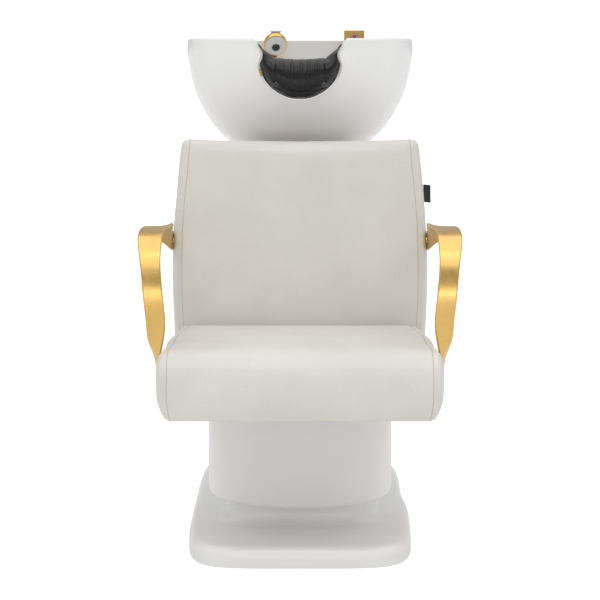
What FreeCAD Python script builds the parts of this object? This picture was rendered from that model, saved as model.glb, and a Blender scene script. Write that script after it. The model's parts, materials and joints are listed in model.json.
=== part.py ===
"""Shampoo backwash unit: a chair and a tilting basin on one moulded pedestal.

Millimetres. +Z is up, the sitter faces -Y, and +X is the sitter's left.
The origin is on the floor, at the middle of the foot.
"""
import FreeCAD, Part
import math
import os

from FreeCAD import Vector

os.makedirs("parts", exist_ok=True)

# ---------------------------------------------------------------- driving sizes
WALL = 4.0                      # moulded shell wall

FOOT_HALF_X, FOOT_HALF_Y = 219.0, 412.0
FOOT_TOP = 38.0
FOOT_LIP_RADIUS = 18.0
FOOT_POWER = 6.0
FOOT_SEAM_Y = -161.0

COLUMN_HALF_X, COLUMN_HALF_Y, COLUMN_MID_Y = 184.0, 275.0, 25.0
COLUMN_POWER = 7.0
COLUMN_LOW, COLUMN_TOP = 71.0, 285.0
COLUMN_ARCH_RADIUS = 715.0      # the lower edge rises towards the corners
THROAT_HALF_X, THROAT_HALF_Y = 152.0, 254.0
THROAT_FILLET = 26.0

# riser behind the backrest: height, half width, front y, rear y
RISER_SECTIONS = [
    (150, 165, -20, 297),
    (285, 163, 62, 318),
    (420, 156, 90, 352),
    (560, 147, 130, 408),
    (690, 138, 185, 478),
]
RISER_POWER = 5.0
RISER_TOP = 690.0

SEAT_BOTTOM = 291.0
SEAT_FRONT = -492.0
SEAT_CREST = (-436.0, 419.0)    # y, z of the top's front end
SEAT_REAR_TOP = (-58.0, 401.0)
SEAT_PANEL_HALF_X = 246.0       # half width at the side seams
SEAT_HALF_X = 259.0             # half width over the bulged side panels

BACK_LEAN = math.radians(13.0)
BACK_ROOT = (-55.0, 398.0)      # y, z where the front of the backrest meets the seat
BACK_THICK = 78.0
BACK_TOP, BACK_TOP_SAG = 391.0, 6.0
# half width and distance along the leaning backrest
BACK_OUTLINE = [(247, -84), (254, 14), (258.5, 110), (256, 235), (241.5, 382)]

ARM_THICK, ARM_EDGE_RADIUS = 7.0, 3.0
ARM_WIDTH, ARM_END_WIDTH = 48.0, 38.0
# y, z, x of the ribbon's middle line, from the backrest round to the seat
ARM_ROUTE = [(44, 572, 263.5), (0, 574, 263.5), (-45, 588, 266), (-110, 609, 273), (-185, 618, 281.5),
             (-255, 614, 284.5), (-309, 589, 283), (-334, 545, 279), (-339, 495, 274.5), (-330, 446, 271.5),
             (-312, 402, 274.2), (-292, 362, 271.8), (-268, 308, 270)]
# shares of the ribbon's length between which it turns flat, narrows and turns upright again
ARM_FLATTENS = (0.06, 0.34)
ARM_NARROWS = (0.48, 0.62)
ARM_TURNS_UPRIGHT = (0.72, 0.94)
ARM_SECTIONS = 27

# basin outside: height, half width, front y, rear y
BASIN_OUTSIDE = [
    (735, 112, 286, 530),
    (748, 138, 262, 552),
    (768, 163, 236, 574),
    (796, 190, 206, 600),
    (831, 212, 178, 622),
    (866, 229, 158, 638),
    (902, 239, 146, 646),
    (940, 245.5, 139, 650),
    (988, 246, 138, 650),
]
BASIN_UPPER_POWER = 3.6
BASIN_RIM = 988.0
BASIN_DECK = 905.0
# bowl inside, below the deck
BASIN_INSIDE = [
    (752, 92, 308, 462),
    (764, 124, 270, 482),
    (800, 168, 212, 512),
    (850, 204, 178, 534),
    (906, 224, 160, 546),
]
# basin inside, above the deck
BASIN_ABOVE_DECK = [
    (BASIN_DECK, 226, 158, 632),
    (950, 230, 154, 634),
    (BASIN_RIM + 12, 231, 153, 635),
]
# hollow under the deck for the hoses, open at the bottom
BASIN_POCKET = [
    (720, 106, 476, 516),
    (764, 124, 494, 557),
    (830, 150, 538, 608),
    (895, 166, 554, 632),
]
# neck notch, right half, from the rim to the lowest point
NOTCH_HALF = [(108, 1004), (99, 988), (85, 970), (82, 955), (88, 932), (80, 903), (58, 877), (28, 861)]
NOTCH_LOW = 857.0

TILT_Y, TILT_Z = 345.0, 700.0
AXLE_RADIUS = 8.0
DRAIN_X, DRAIN_Y = 0.0, 415.0

MIXER_X, MIXER_Y = 127.0, 586.0
MIXER_SIDE = 46.0
MIXER_TOP = 1011.0

SHOWER_FOOT = Vector(-86, 590, BASIN_DECK)
SHOWER_HEAD = Vector(-57, 570, 976)         # centre of the spray face
SHOWER_FACE = Vector(0.10, -0.84, -0.53).normalize()

PANEL_Y, PANEL_Z = 288.0, 132.0
DRAIN_PORT_X, COLD_PORT_X, HOT_PORT_X = -60.0, 30.0, 78.0
G_HALF_RADIUS = 10.48           # male G1/2 thread, outside
DRAIN_RADIUS = 20.0

ANCHOR_HALF_X, ANCHOR_FRONT, ANCHOR_REAR = 115.0, -190.0, 240.0
ANCHOR_HOLE = 6.5


# ---------------------------------------------------------------- shape helpers
def box(x0, x1, y0, y1, z0, z1):
    return Part.makeBox(x1 - x0, y1 - y0, z1 - z0, Vector(x0, y0, z0))


def rod(start, end, radius):
    """Round bar from one point to another."""
    start, end = Vector(*start), Vector(*end)
    return Part.makeCylinder(radius, (end - start).Length, start, end - start)


def ring(start, end, outer, inner):
    return rod(start, end, outer).cut(rod(start, end, inner))


def hexagon(centre, axis, across_flats, height):
    """Hexagon prism from centre along axis."""
    corner = across_flats / math.sqrt(3)
    points = [Vector(corner * math.cos(math.radians(60 * i)), corner * math.sin(math.radians(60 * i)), 0)
              for i in range(7)]
    prism = Part.Face(Part.makePolygon(points)).extrude(Vector(0, 0, height))
    prism.Placement = FreeCAD.Placement(Vector(*centre), FreeCAD.Rotation(Vector(0, 0, 1), Vector(*axis)))
    return prism


def fuse(shapes):
    return shapes[0].multiFuse(shapes[1:]).removeSplitter() if len(shapes) > 1 else shapes[0]


def cut_all(shape, tools):
    for tool in tools:
        shape = shape.cut(tool)
    return shape


def mirror_x(shape):
    return shape.mirror(Vector(0, 0, 0), Vector(1, 0, 0))


def both_sides(shape):
    """The shape and its mirror image, as separate solids."""
    return Part.makeCompound([shape, mirror_x(shape)])


def smooth_loop(points):
    curve = Part.BSplineCurve()
    curve.interpolate(Points=points, PeriodicFlag=True)
    return Part.Wire(curve.toShape())


def smooth_edge(points):
    curve = Part.BSplineCurve()
    curve.interpolate(points)
    return curve.toShape()


def squircle(half_x, half_y, power, count=40):
    """Points of a superellipse about the origin, in the plane z = 0."""
    points = []
    for i in range(count):
        angle = 2 * math.pi * i / count
        c, s = math.cos(angle), math.sin(angle)
        x = half_x * math.copysign(abs(c) ** (2 / power), c)
        y = half_y * math.copysign(abs(s) ** (2 / power), s)
        points.append(Vector(x, y, 0))
    return points


def squircle_wire(half_x, front, rear, z, power):
    middle = Vector(0, (front + rear) / 2, z)
    return smooth_loop([middle + p for p in squircle(half_x, (rear - front) / 2, power)])


def squircle_prism(half_x, half_y, mid_y, z0, z1, power):
    wire = squircle_wire(half_x, mid_y - half_y, mid_y + half_y, z0, power)
    return Part.Face(wire).extrude(Vector(0, 0, z1 - z0))


def squircle_loft(sections, power, inset=0.0):
    """Body through (z, half x, front y, rear y) sections, each drawn in by inset."""
    wires = [squircle_wire(hx - inset, front + inset, rear - inset, z, power)
             for z, hx, front, rear in sections]
    return Part.makeLoft(wires, True, False)


def plate_yz(points, x0, x1):
    """Flat plate with its outline in the YZ plane."""
    outline = Part.makePolygon([Vector(x0, y, z) for y, z in points + points[:1]])
    return Part.Face(outline).extrude(Vector(x1 - x0, 0, 0))


def pipe(points, radius):
    """Tube along straight runs joined by the largest tangent arcs that the runs allow."""
    points = [Vector(*p) for p in points]
    edges, here, radii = [], points[0], []
    for before, corner, after in zip(points, points[1:], points[2:]):
        back, ahead = (before - corner), (after - corner)
        shorter = min(back.Length, ahead.Length)
        turn = math.pi - back.getAngle(ahead)
        trim = 0.45 * shorter
        radii.append(trim / math.tan(turn / 2))
        start = corner + back.normalize() * trim
        end = corner + ahead.normalize() * trim
        bisector = (back + ahead).normalize()
        sag = radii[-1] / math.cos(turn / 2) - radii[-1]
        edges.append(Part.LineSegment(here, start).toShape())
        edges.append(Part.Arc(start, corner + bisector * sag, end).toShape())
        here = end
    edges.append(Part.LineSegment(here, points[-1]).toShape())
    path = Part.Wire(edges)
    section = Part.Wire(Part.Circle(points[0], points[1] - points[0], radius).toShape())
    tube = path.makePipeShell([section], True, False)
    expected = math.pi * radius ** 2 * path.Length
    print("pipe: length %.0f, volume ratio %.3f, least radius %.0f"
          % (path.Length, tube.Volume / expected, min(radii)))
    return tube


def save(name, shape):
    bad = [s for s in shape.Solids if not s.isValid() or s.Volume <= 0]
    if bad or not shape.Solids:
        print("CHECK", name, "has a faulty solid")
    shape.exportStep("parts/%s.step" % name)


# ---------------------------------------------------------------- steel frame
def anchor_points():
    return [(sx * ANCHOR_HALF_X, y) for sx in (-1, 1) for y in (ANCHOR_FRONT, ANCHOR_REAR)]


def floor_plate():
    plate = box(-145, 145, -216, 268, 0, 8)
    return cut_all(plate, [rod((x, y, -1), (x, y, 9), ANCHOR_HOLE) for x, y in anchor_points()])


def square_tube(x, y, size_x, size_y, z0, z1, wall=3.0):
    outer = box(x - size_x / 2, x + size_x / 2, y - size_y / 2, y + size_y / 2, z0, z1)
    hollow = box(x - size_x / 2 + wall, x + size_x / 2 - wall,
                 y - size_y / 2 + wall, y + size_y / 2 - wall, z0 - 1, z1 + 1)
    return outer.cut(hollow)


FRONT_POST_X, FRONT_POST_Y = 80.0, -120.0
REAR_POST_X, REAR_POST_Y = 70.0, 220.0
HEAD_BASE = 640.0


def front_posts():
    return both_sides(square_tube(FRONT_POST_X, FRONT_POST_Y, 40, 60, 8, COLUMN_TOP))


def rear_posts():
    return both_sides(square_tube(REAR_POST_X, REAR_POST_Y, 40, 30, 8, HEAD_BASE))


def frame_rails():
    front = box(-60, 60, -135, -105, 190, 220)
    middle = box(-50, 50, 207, 233, 400, 430)
    side = box(REAR_POST_X - 15, REAR_POST_X + 15, -90, 205, 225, 255)
    return Part.makeCompound([front, middle, side, mirror_x(side)])


SEAT_BOLT_POINTS = [(sx * 110, y) for sx in (-1, 1) for y in (-350, -150)]


def seat_plate():
    plate = box(-150, 150, -390, 15, COLUMN_TOP, SEAT_BOTTOM)
    return cut_all(plate, [rod((x, y, 280), (x, y, 300), 4.5) for x, y in SEAT_BOLT_POINTS])


# ---------------------------------------------------------------- basin tilt
LUG_X0, LUG_X1 = 46.0, 54.0
MAST_X0, MAST_X1 = 58.0, 66.0


def tilt_bracket():
    """Head of the mast: a base on the rear posts and two upright ears for the axle."""
    base = box(-92, 92, 203, 366, HEAD_BASE, HEAD_BASE + 8)
    ear = plate_yz([(210, 648), (366, 648), (359, 700), (331, 700)], MAST_X0, MAST_X1)
    ear = ear.fuse(rod((MAST_X0, TILT_Y, TILT_Z), (MAST_X1, TILT_Y, TILT_Z), 14))
    ear = ear.cut(rod((MAST_X0 - 1, TILT_Y, TILT_Z), (MAST_X1 + 1, TILT_Y, TILT_Z), AXLE_RADIUS))
    return fuse([base, ear, mirror_x(ear)])


def tilt_axle():
    return rod((-77, TILT_Y, TILT_Z), (77, TILT_Y, TILT_Z), AXLE_RADIUS)


def tilt_washers():
    return both_sides(ring((LUG_X1 + 0.3, TILT_Y, TILT_Z), (MAST_X0, TILT_Y, TILT_Z), 16, AXLE_RADIUS))


def tilt_nuts():
    nut = hexagon((MAST_X1, TILT_Y, TILT_Z), (1, 0, 0), 24, 9)
    return both_sides(nut.cut(rod((60, TILT_Y, TILT_Z), (80, TILT_Y, TILT_Z), AXLE_RADIUS)))


CRADLE_BOLT_POINTS = [(sx * 72, y) for sx in (-1, 1) for y in (312, 446)]
BASIN_BOTTOM = BASIN_OUTSIDE[0][0]


def basin_cradle():
    """Plate under the bowl with two lugs that hang on the axle."""
    plate = box(-86, 86, 296, 464, BASIN_BOTTOM - 8, BASIN_BOTTOM)
    lug = box(LUG_X0, LUG_X1, TILT_Y - 15, TILT_Y + 15, TILT_Z, BASIN_BOTTOM - 8)
    lug = lug.fuse(rod((LUG_X0, TILT_Y, TILT_Z), (LUG_X1, TILT_Y, TILT_Z), 15))
    lug = lug.cut(rod((LUG_X0 - 1, TILT_Y, TILT_Z), (LUG_X1 + 1, TILT_Y, TILT_Z), 11))
    holes = [rod((x, y, 700), (x, y, 740), 4.5) for x, y in CRADLE_BOLT_POINTS]
    holes.append(rod((DRAIN_X, DRAIN_Y, 700), (DRAIN_X, DRAIN_Y, 740), 38))
    return cut_all(fuse([plate, lug, mirror_x(lug)]), holes)


def tilt_bushes():
    bush = ring((LUG_X0, TILT_Y, TILT_Z), (LUG_X1, TILT_Y, TILT_Z), 11, AXLE_RADIUS + 0.05)
    return both_sides(bush)


def cradle_bolts():
    """Bolts up through the cradle into the basin's bosses."""
    bolts = []
    for x, y in CRADLE_BOLT_POINTS:
        shank = rod((x, y, BASIN_BOTTOM - 8), (x, y, BASIN_BOTTOM + 9), 4)
        bolts.append(shank.fuse(hexagon((x, y, BASIN_BOTTOM - 13), (0, 0, 1), 13, 5)))
    return Part.makeCompound(bolts)


# ---------------------------------------------------------------- moulded shell
def column_prism(inset, low, high):
    return squircle_prism(COLUMN_HALF_X - inset, COLUMN_HALF_Y - inset, COLUMN_MID_Y, low, high, COLUMN_POWER)


def throat_prism(inset, low, high):
    return squircle_prism(THROAT_HALF_X - inset, THROAT_HALF_Y - inset, COLUMN_MID_Y, low, high, COLUMN_POWER)


def throat_flare():
    """Concave quarter-round skirt where the throat meets the foot."""
    sections = []
    for step in range(7):
        angle = math.radians(15 * step)
        out = THROAT_FILLET * (1 - math.sin(angle))
        height = THROAT_FILLET * (1 - math.cos(angle))
        sections.append((FOOT_TOP - 2 + height, THROAT_HALF_X + out, COLUMN_MID_Y - THROAT_HALF_Y - out,
                         COLUMN_MID_Y + THROAT_HALF_Y + out))
    return squircle_loft(sections, COLUMN_POWER)


def shell_outside():
    foot = squircle_prism(FOOT_HALF_X, FOOT_HALF_Y, 0, 0, FOOT_TOP, FOOT_POWER)
    lip = [e for e in foot.Edges if abs(e.BoundBox.ZMin - FOOT_TOP) < 0.1 and e.BoundBox.ZLength < 0.1]
    foot = foot.makeFillet(FOOT_LIP_RADIUS, lip)
    throat = throat_prism(0, 0, COLUMN_TOP - 20)
    base = fuse([foot, throat, throat_flare()])
    column = column_prism(0, COLUMN_LOW - 5, COLUMN_TOP)
    # the lower edge is an arch, highest at the corners
    arch_centre = COLUMN_LOW + COLUMN_ARCH_RADIUS
    column = column.common(rod((0, -400, arch_centre), (0, 500, arch_centre), COLUMN_ARCH_RADIUS))
    under = [e for e in column.Edges if e.BoundBox.ZMax < COLUMN_LOW + 40]
    column = column.makeFillet(9, under)
    riser = squircle_loft(RISER_SECTIONS, RISER_POWER)
    return base, column, riser


def shell_inside():
    foot = squircle_prism(FOOT_HALF_X - 5, FOOT_HALF_Y - 5, 0, -1, FOOT_TOP - 16, FOOT_POWER)
    throat = throat_prism(WALL, -1, COLUMN_LOW + 40)
    column = column_prism(WALL, COLUMN_LOW + 29, COLUMN_TOP - WALL)
    riser = squircle_loft(RISER_SECTIONS, RISER_POWER, WALL)
    lid = box(-200, 200, 0, 600, RISER_TOP - WALL, RISER_TOP + 10)
    return [foot, throat, column, riser.cut(lid)]


COVER_HALF_X, COVER_LOW, COVER_HIGH = 95.0, 195.0, 430.0
COVER_GAP = 0.8


def cover_zone(gap):
    return box(-COVER_HALF_X + gap, COVER_HALF_X - gap, 262, 420, COVER_LOW + gap, COVER_HIGH - gap)


def cover_screw_points():
    return [(sx * (COVER_HALF_X - 12), z) for sx in (-1, 1) for z in (COVER_LOW + 14, COVER_HIGH - 14)]


def shell_parts():
    base, column, riser = shell_outside()
    outside = fuse([base, column, riser])
    inside = shell_inside()
    shell = cut_all(outside, inside)
    wall = shell.common(cover_zone(COVER_GAP))
    screw_tools = [rod((x, 262, z), (x, 420, z), 4) for x, z in cover_screw_points()]
    cover = cut_all(wall, screw_tools)
    screws = Part.makeCompound([wall.common(tool) for tool in screw_tools])
    openings = [cover_zone(0), box(-98, 104, 280, 310, 104, 160)]
    openings += [box(FRONT_POST_X * s - 21, FRONT_POST_X * s + 21, FRONT_POST_Y - 31, FRONT_POST_Y + 31,
                     COLUMN_TOP - 10, COLUMN_TOP + 10) for s in (-1, 1)]
    openings.append(box(-106, 106, 228, 465, RISER_TOP - 20, RISER_TOP + 20))
    for side in (-1, 1):
        openings.append(box(side * 190 - 25, side * 190 + 25, FOOT_SEAM_Y - 0.7, FOOT_SEAM_Y + 0.7,
                            FOOT_TOP - 1.5, FOOT_TOP + 5))
    return cut_all(shell, openings), cover, screws


def inlet_panel():
    panel = box(-108, 114, PANEL_Y, PANEL_Y + 4, 102, 166)
    holes = [rod((x, 280, PANEL_Z), (x, 300, PANEL_Z), G_HALF_RADIUS) for x in (COLD_PORT_X, HOT_PORT_X)]
    holes.append(rod((DRAIN_PORT_X, 280, PANEL_Z), (DRAIN_PORT_X, 300, PANEL_Z), DRAIN_RADIUS))
    return cut_all(panel, holes)


HOSE_RADIUS = 5.0
INLET_HOSE_Y, INLET_HOSE_Z = 268.0, 152.0
RELIEF_WIDTH, RELIEF_DEPTH = 1.5, 0.8       # groove behind a stub's outer length


def relief_groove(x, y, radius):
    """Ring to cut from a stub about the y axis, from y outwards."""
    return ring((x, y, PANEL_Z), (x, y + RELIEF_WIDTH, PANEL_Z), radius + 1, radius - RELIEF_DEPTH)


def water_inlet(x):
    """Threaded stub through the panel, with an elbow up to the hose behind it."""
    stub = rod((x, PANEL_Y - 8, PANEL_Z), (x, PANEL_Y + 22, PANEL_Z), G_HALF_RADIUS)
    stub = stub.cut(relief_groove(x, PANEL_Y + 9, G_HALF_RADIUS))
    body = Part.makeSphere(11, Vector(x, INLET_HOSE_Y, PANEL_Z))
    neck = rod((x, INLET_HOSE_Y, PANEL_Z), (x, PANEL_Y, PANEL_Z), 9)
    riser = rod((x, INLET_HOSE_Y, PANEL_Z), (x, INLET_HOSE_Y, INLET_HOSE_Z), 8)
    bore = rod((x, PANEL_Y, PANEL_Z), (x, PANEL_Y + 23, PANEL_Z), 7)
    return fuse([stub, body, neck, riser]).cut(bore)


def inlet_nuts():
    nuts = []
    for x in (COLD_PORT_X, HOT_PORT_X):
        nut = hexagon((x, PANEL_Y + 4, PANEL_Z), (0, 1, 0), 27, 5)
        nuts.append(nut.cut(rod((x, 280, PANEL_Z), (x, 310, PANEL_Z), G_HALF_RADIUS)))
    return Part.makeCompound(nuts)


DRAIN_ELBOW_Z = 166.0


def drain_outlet():
    """Waste elbow: out through the panel, up to the hose."""
    out = rod((DRAIN_PORT_X, 262, PANEL_Z), (DRAIN_PORT_X, PANEL_Y + 48, PANEL_Z), DRAIN_RADIUS)
    knee = Part.makeSphere(DRAIN_RADIUS, Vector(DRAIN_PORT_X, 262, PANEL_Z))
    up = rod((DRAIN_PORT_X, 262, PANEL_Z), (DRAIN_PORT_X, 262, DRAIN_ELBOW_Z), DRAIN_RADIUS)
    stop = rod((DRAIN_PORT_X, PANEL_Y + 4, PANEL_Z), (DRAIN_PORT_X, PANEL_Y + 7, PANEL_Z), DRAIN_RADIUS + 3)
    out = out.fuse(stop).cut(relief_groove(DRAIN_PORT_X, PANEL_Y + 7, DRAIN_RADIUS))
    bore = rod((DRAIN_PORT_X, 262, PANEL_Z), (DRAIN_PORT_X, PANEL_Y + 49, PANEL_Z), 17)
    return fuse([out, knee, up]).cut(bore)


DRAIN_HOSE_TOP = 690.0


def drain_hose():
    route = [(DRAIN_PORT_X, 262, DRAIN_ELBOW_Z), (DRAIN_PORT_X, 262, 240), (-54, 286, 340), (-42, 304, 440),
             (-22, 336, 525), (-5, 388, 590), (DRAIN_X, DRAIN_Y, 648),
             (DRAIN_X, DRAIN_Y, DRAIN_HOSE_TOP - HOSE_END_GAP)]
    return pipe(route, DRAIN_RADIUS)


MIXER_TAIL_Z = 872.0
COLD_TAIL = (MIXER_X - 8, MIXER_Y - 5, MIXER_TAIL_Z)
HOT_TAIL = (MIXER_X + 8, MIXER_Y - 5, MIXER_TAIL_Z)
OUTLET_TAIL = (MIXER_X, MIXER_Y + 8, MIXER_TAIL_Z)
HOSE_END_GAP = 0.5


def water_hose(port_x, bends, tail):
    """Hose from an inlet's elbow up the riser to one of the mixer's tails."""
    x, y, z = tail
    start = [(port_x, INLET_HOSE_Y, INLET_HOSE_Z), (port_x, INLET_HOSE_Y, 210)]
    return pipe(start + bends + [(x, y, z - 32), (x, y, z - HOSE_END_GAP)], HOSE_RADIUS)


def cold_hose():
    return water_hose(COLD_PORT_X, [(34, 275, 268), (38, 286, 330), (44, 298, 390), (50, 314, 450),
                                    (56, 334, 508), (62, 358, 564), (66, 388, 616), (68, 420, 664),
                                    (70, 459, 704), (74, 503, 744), (86, 537, 790)], COLD_TAIL)


def hot_hose():
    return water_hose(HOT_PORT_X, [(80, 275, 268), (81, 286, 330), (82, 298, 390), (83, 314, 450),
                                   (84, 334, 508), (85, 358, 564), (86, 388, 616), (86, 420, 664),
                                   (85, 459, 704), (89, 503, 744), (102, 537, 790)], HOT_TAIL)


def hose_clips():
    """Saddle clips that hold the water hoses to the rear of the posts."""
    clips = []
    for x, y, z in ((38, 286, 330), (81, 286, 330)):
        clip = ring((x, y, z - 5), (x, y, z + 5), HOSE_RADIUS + 3.5, HOSE_RADIUS + 1.2)
        strap = box(min(x, 62), max(x, 62) + 4, 235, y - 5.5, z - 4, z + 4)
        clips.append(clip.fuse(strap).cut(rod((x, y, z - 9), (x, y, z + 9), HOSE_RADIUS + 1.2)))
    return Part.makeCompound(clips)


# ---------------------------------------------------------------- seat
def seat_outline(inset, x):
    """Side outline of the seat as a closed wire at x."""
    crest_y, crest_z = SEAT_CREST
    rear_y, rear_z = SEAT_REAR_TOP
    lean = math.tan(BACK_LEAN)
    low = SEAT_BOTTOM + inset
    front = SEAT_FRONT + inset

    def spot(y, z):
        return Vector(x, y, z)
    rear_low = spot(rear_y - inset - (rear_z - low) * lean, low)
    rear_top = spot(rear_y - inset, rear_z - inset)
    top_front = spot(crest_y + 0.5 * inset, crest_z - inset)
    shoulder = spot(front + 14, 402 - 0.8 * inset)
    front_top = spot(front, 362 - inset)
    front_low = spot(front + 2, low + 8)
    heel = spot(front + 5, low + 2.5)
    under = spot(front + 11, low)
    edges = [Part.LineSegment(rear_low, rear_top).toShape(),
             Part.LineSegment(rear_top, top_front).toShape(),
             Part.Arc(top_front, shoulder, front_top).toShape(),
             Part.LineSegment(front_top, front_low).toShape(),
             Part.Arc(front_low, heel, under).toShape(),
             Part.LineSegment(under, rear_low).toShape()]
    return Part.Wire(edges)


SEAT_BOARD_THICK = 15.0


def seat_board():
    board = box(-228, 228, -462, -98, SEAT_BOTTOM, SEAT_BOTTOM + SEAT_BOARD_THICK)
    return cut_all(board, [rod((x, y, 280), (x, y, 310), 4.5) for x, y in SEAT_BOLT_POINTS])


def seat_cushion():
    core = Part.Face(seat_outline(0, -SEAT_PANEL_HALF_X)).extrude(Vector(2 * SEAT_PANEL_HALF_X, 0, 0))
    side = Part.makeLoft([seat_outline(0, SEAT_PANEL_HALF_X), seat_outline(9, SEAT_HALF_X)], True, True)
    body = fuse([core, side, mirror_x(side)])
    pocket = box(-228, 228, -462, -98, SEAT_BOTTOM - 1, SEAT_BOTTOM + SEAT_BOARD_THICK)
    pits = [rod((x, y, 290), (x, y, 318), 9) for x, y in SEAT_BOLT_POINTS]
    return cut_all(body, [pocket] + pits + [arm_bolt_room(point) for point in SEAT_ARM_POINTS])


def seat_bolts():
    bolts = []
    for x, y in SEAT_BOLT_POINTS:
        shank = rod((x, y, COLUMN_TOP), (x, y, 314), 4)
        head = hexagon((x, y, SEAT_BOTTOM + SEAT_BOARD_THICK), (0, 0, 1), 13, 6)
        bolts.append(shank.fuse(head))
    return Part.makeCompound(bolts)


# ---------------------------------------------------------------- backrest
UP = Vector(0, math.sin(BACK_LEAN), math.cos(BACK_LEAN))
REARWARD = Vector(0, math.cos(BACK_LEAN), -math.sin(BACK_LEAN))


def on_back(x, up, deep):
    """Point at x, a distance up the backrest and behind its front surface."""
    return Vector(x, BACK_ROOT[0], BACK_ROOT[1]) + UP * up + REARWARD * deep


def back_block(outline, deep0, deep1):
    """Solid between two depths with a closed outline of (x, up) points."""
    points = [on_back(x, up, deep0) for x, up in outline + outline[:1]]
    return Part.Face(Part.makePolygon(points)).extrude(REARWARD * (deep1 - deep0))


BACK_BOARD_HALF_X, BACK_BOARD_LOW, BACK_BOARD_HIGH = 232.0, -66.0, 366.0
BACK_BOARD_THICK = 12.0
BACK_BOLT_POINTS = [(sx * 110, up) for sx in (-1, 1) for up in (-20, 170)]


def back_rectangle(half_x, low, high):
    return [(-half_x, low), (half_x, low), (half_x, high), (-half_x, high)]


def back_board():
    board = back_block(back_rectangle(BACK_BOARD_HALF_X, BACK_BOARD_LOW, BACK_BOARD_HIGH),
                       BACK_THICK - BACK_BOARD_THICK, BACK_THICK)
    holes = [Part.makeCylinder(3.5, 30, on_back(x, up, BACK_THICK - 20), REARWARD)
             for x, up in BACK_BOLT_POINTS]
    return cut_all(board, holes)


def back_cushion():
    right = [on_back(x, up, 0) for x, up in BACK_OUTLINE]
    left = [on_back(-x, up, 0) for x, up in BACK_OUTLINE]
    top_left, top_right = on_back(-232, BACK_TOP, 0), on_back(232, BACK_TOP, 0)
    top = Part.Arc(top_left, on_back(0, BACK_TOP - BACK_TOP_SAG, 0), top_right)
    edges = [smooth_edge(right), top.toShape(), smooth_edge(left),
             Part.LineSegment(right[-1], top_right).toShape(),
             Part.LineSegment(left[-1], top_left).toShape(),
             Part.LineSegment(left[0], right[0]).toShape()]
    wire = Part.Wire(Part.__sortEdges__(edges))
    body = Part.Face(wire).extrude(REARWARD * BACK_THICK)
    pocket = back_block(back_rectangle(BACK_BOARD_HALF_X, BACK_BOARD_LOW, BACK_BOARD_HIGH),
                        BACK_THICK - BACK_BOARD_THICK, BACK_THICK + 1)
    pits = [Part.makeCylinder(6, 20, on_back(x, up, BACK_THICK - 32), REARWARD)
            for x, up in BACK_BOLT_POINTS]
    return cut_all(body, [pocket] + pits + [arm_bolt_room(point) for point in BACK_ARM_POINTS])


BRACKET_X0, BRACKET_X1 = 92.0, 128.0
BRACKET_THICK = 6.0


def back_brackets():
    """Two steel straps that carry the backrest from the seat plate."""
    high = on_back(0, 230, BACK_THICK)
    low = on_back(0, -96, BACK_THICK)
    rise = (SEAT_BOTTOM - low.z) / math.cos(BACK_LEAN)
    foot = on_back(0, -96 + rise, BACK_THICK)
    out = REARWARD * BRACKET_THICK
    strap = plate_yz([(foot.y, foot.z), (high.y, high.z), (high.y + out.y, high.z + out.z),
                      (foot.y + BRACKET_THICK / math.cos(BACK_LEAN), foot.z)], BRACKET_X0, BRACKET_X1)
    shoe = box(BRACKET_X0, BRACKET_X1, -70, foot.y + 3, SEAT_BOTTOM, SEAT_BOTTOM + BRACKET_THICK)
    body = fuse([strap, shoe])
    holes = [Part.makeCylinder(3.5, 30, on_back(x, up, BACK_THICK - 5), REARWARD)
             for x, up in BACK_BOLT_POINTS]
    return both_sides(cut_all(body, holes))


def back_screws():
    screws = []
    for x, up in BACK_BOLT_POINTS:
        shank = Part.makeCylinder(3.5, 34, on_back(x, up, BACK_THICK - 28), REARWARD)
        head = Part.makeCylinder(7, 4, on_back(x, up, BACK_THICK + 6), REARWARD)
        screws.append(shank.fuse(head))
    return Part.makeCompound(screws)


def side_tag():
    low = on_back(255.2, 266, 30)
    tag = Part.makeBox(15, 1.2, 39, Vector(0, 0, 0))
    tag.Placement = FreeCAD.Placement(low, FreeCAD.Rotation(Vector(1, 0, 0), -math.degrees(BACK_LEAN)))
    return tag


# ---------------------------------------------------------------- armrests
SEAT_ARM_POINTS = [(-272, 314), (-284, 346)]     # y, z
BACK_ARM_POINTS = [(8, 573), (30, 572.5)]
SEAT_ARM_MID, BACK_ARM_MID = 270.0, 263.5        # x of the ribbon's middle at each end
BACK_SIDE_X = 258.7                              # side of the backrest behind the armrest


def arm_bolt_room(point):
    y, z = point
    return both_sides(rod((224, y, z), (270, y, z), 6))


def arm_section(centre, across, out, width):
    """Closed section of the ribbon: a flat bar with rounded edges, width across and thickness out."""
    half_width, half_thick = width / 2, ARM_THICK / 2
    flat, side = half_width - ARM_EDGE_RADIUS, half_thick - ARM_EDGE_RADIUS
    diagonal = ARM_EDGE_RADIUS * math.sqrt(0.5)

    def spot(x, y):
        return centre + across * x + out * y
    arcs = []
    for sx, sy in ((1, 1), (-1, 1), (-1, -1), (1, -1)):
        arc = [spot(sx * half_width, sy * side), spot(sx * (flat + diagonal), sy * (side + diagonal)),
               spot(sx * flat, sy * half_thick)]
        arcs.append(arc if sx * sy > 0 else arc[::-1])
    edges = []
    for arc, following in zip(arcs, arcs[1:] + arcs[:1]):
        edges.append(Part.Arc(*arc).toShape())
        edges.append(Part.LineSegment(arc[2], following[0]).toShape())
    return Part.Wire(edges)


def ease(value, start=0.0, end=1.0):
    """Smooth step from 0 at start to 1 at end."""
    value = max(0.0, min(1.0, (value - start) / (end - start)))
    return value * value * (3 - 2 * value)


def arm_countersink(y, z, middle):
    """Room for a flush screw through the ribbon, whose middle is at x = middle."""
    face = middle + ARM_THICK / 2
    cone = Part.makeCone(4, 8, 4, Vector(face - 4, y, z), Vector(1, 0, 0))
    return fuse([rod((230, y, z), (face - 3, y, z), 4), cone, rod((face, y, z), (face + 4, y, z), 8)])


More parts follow.
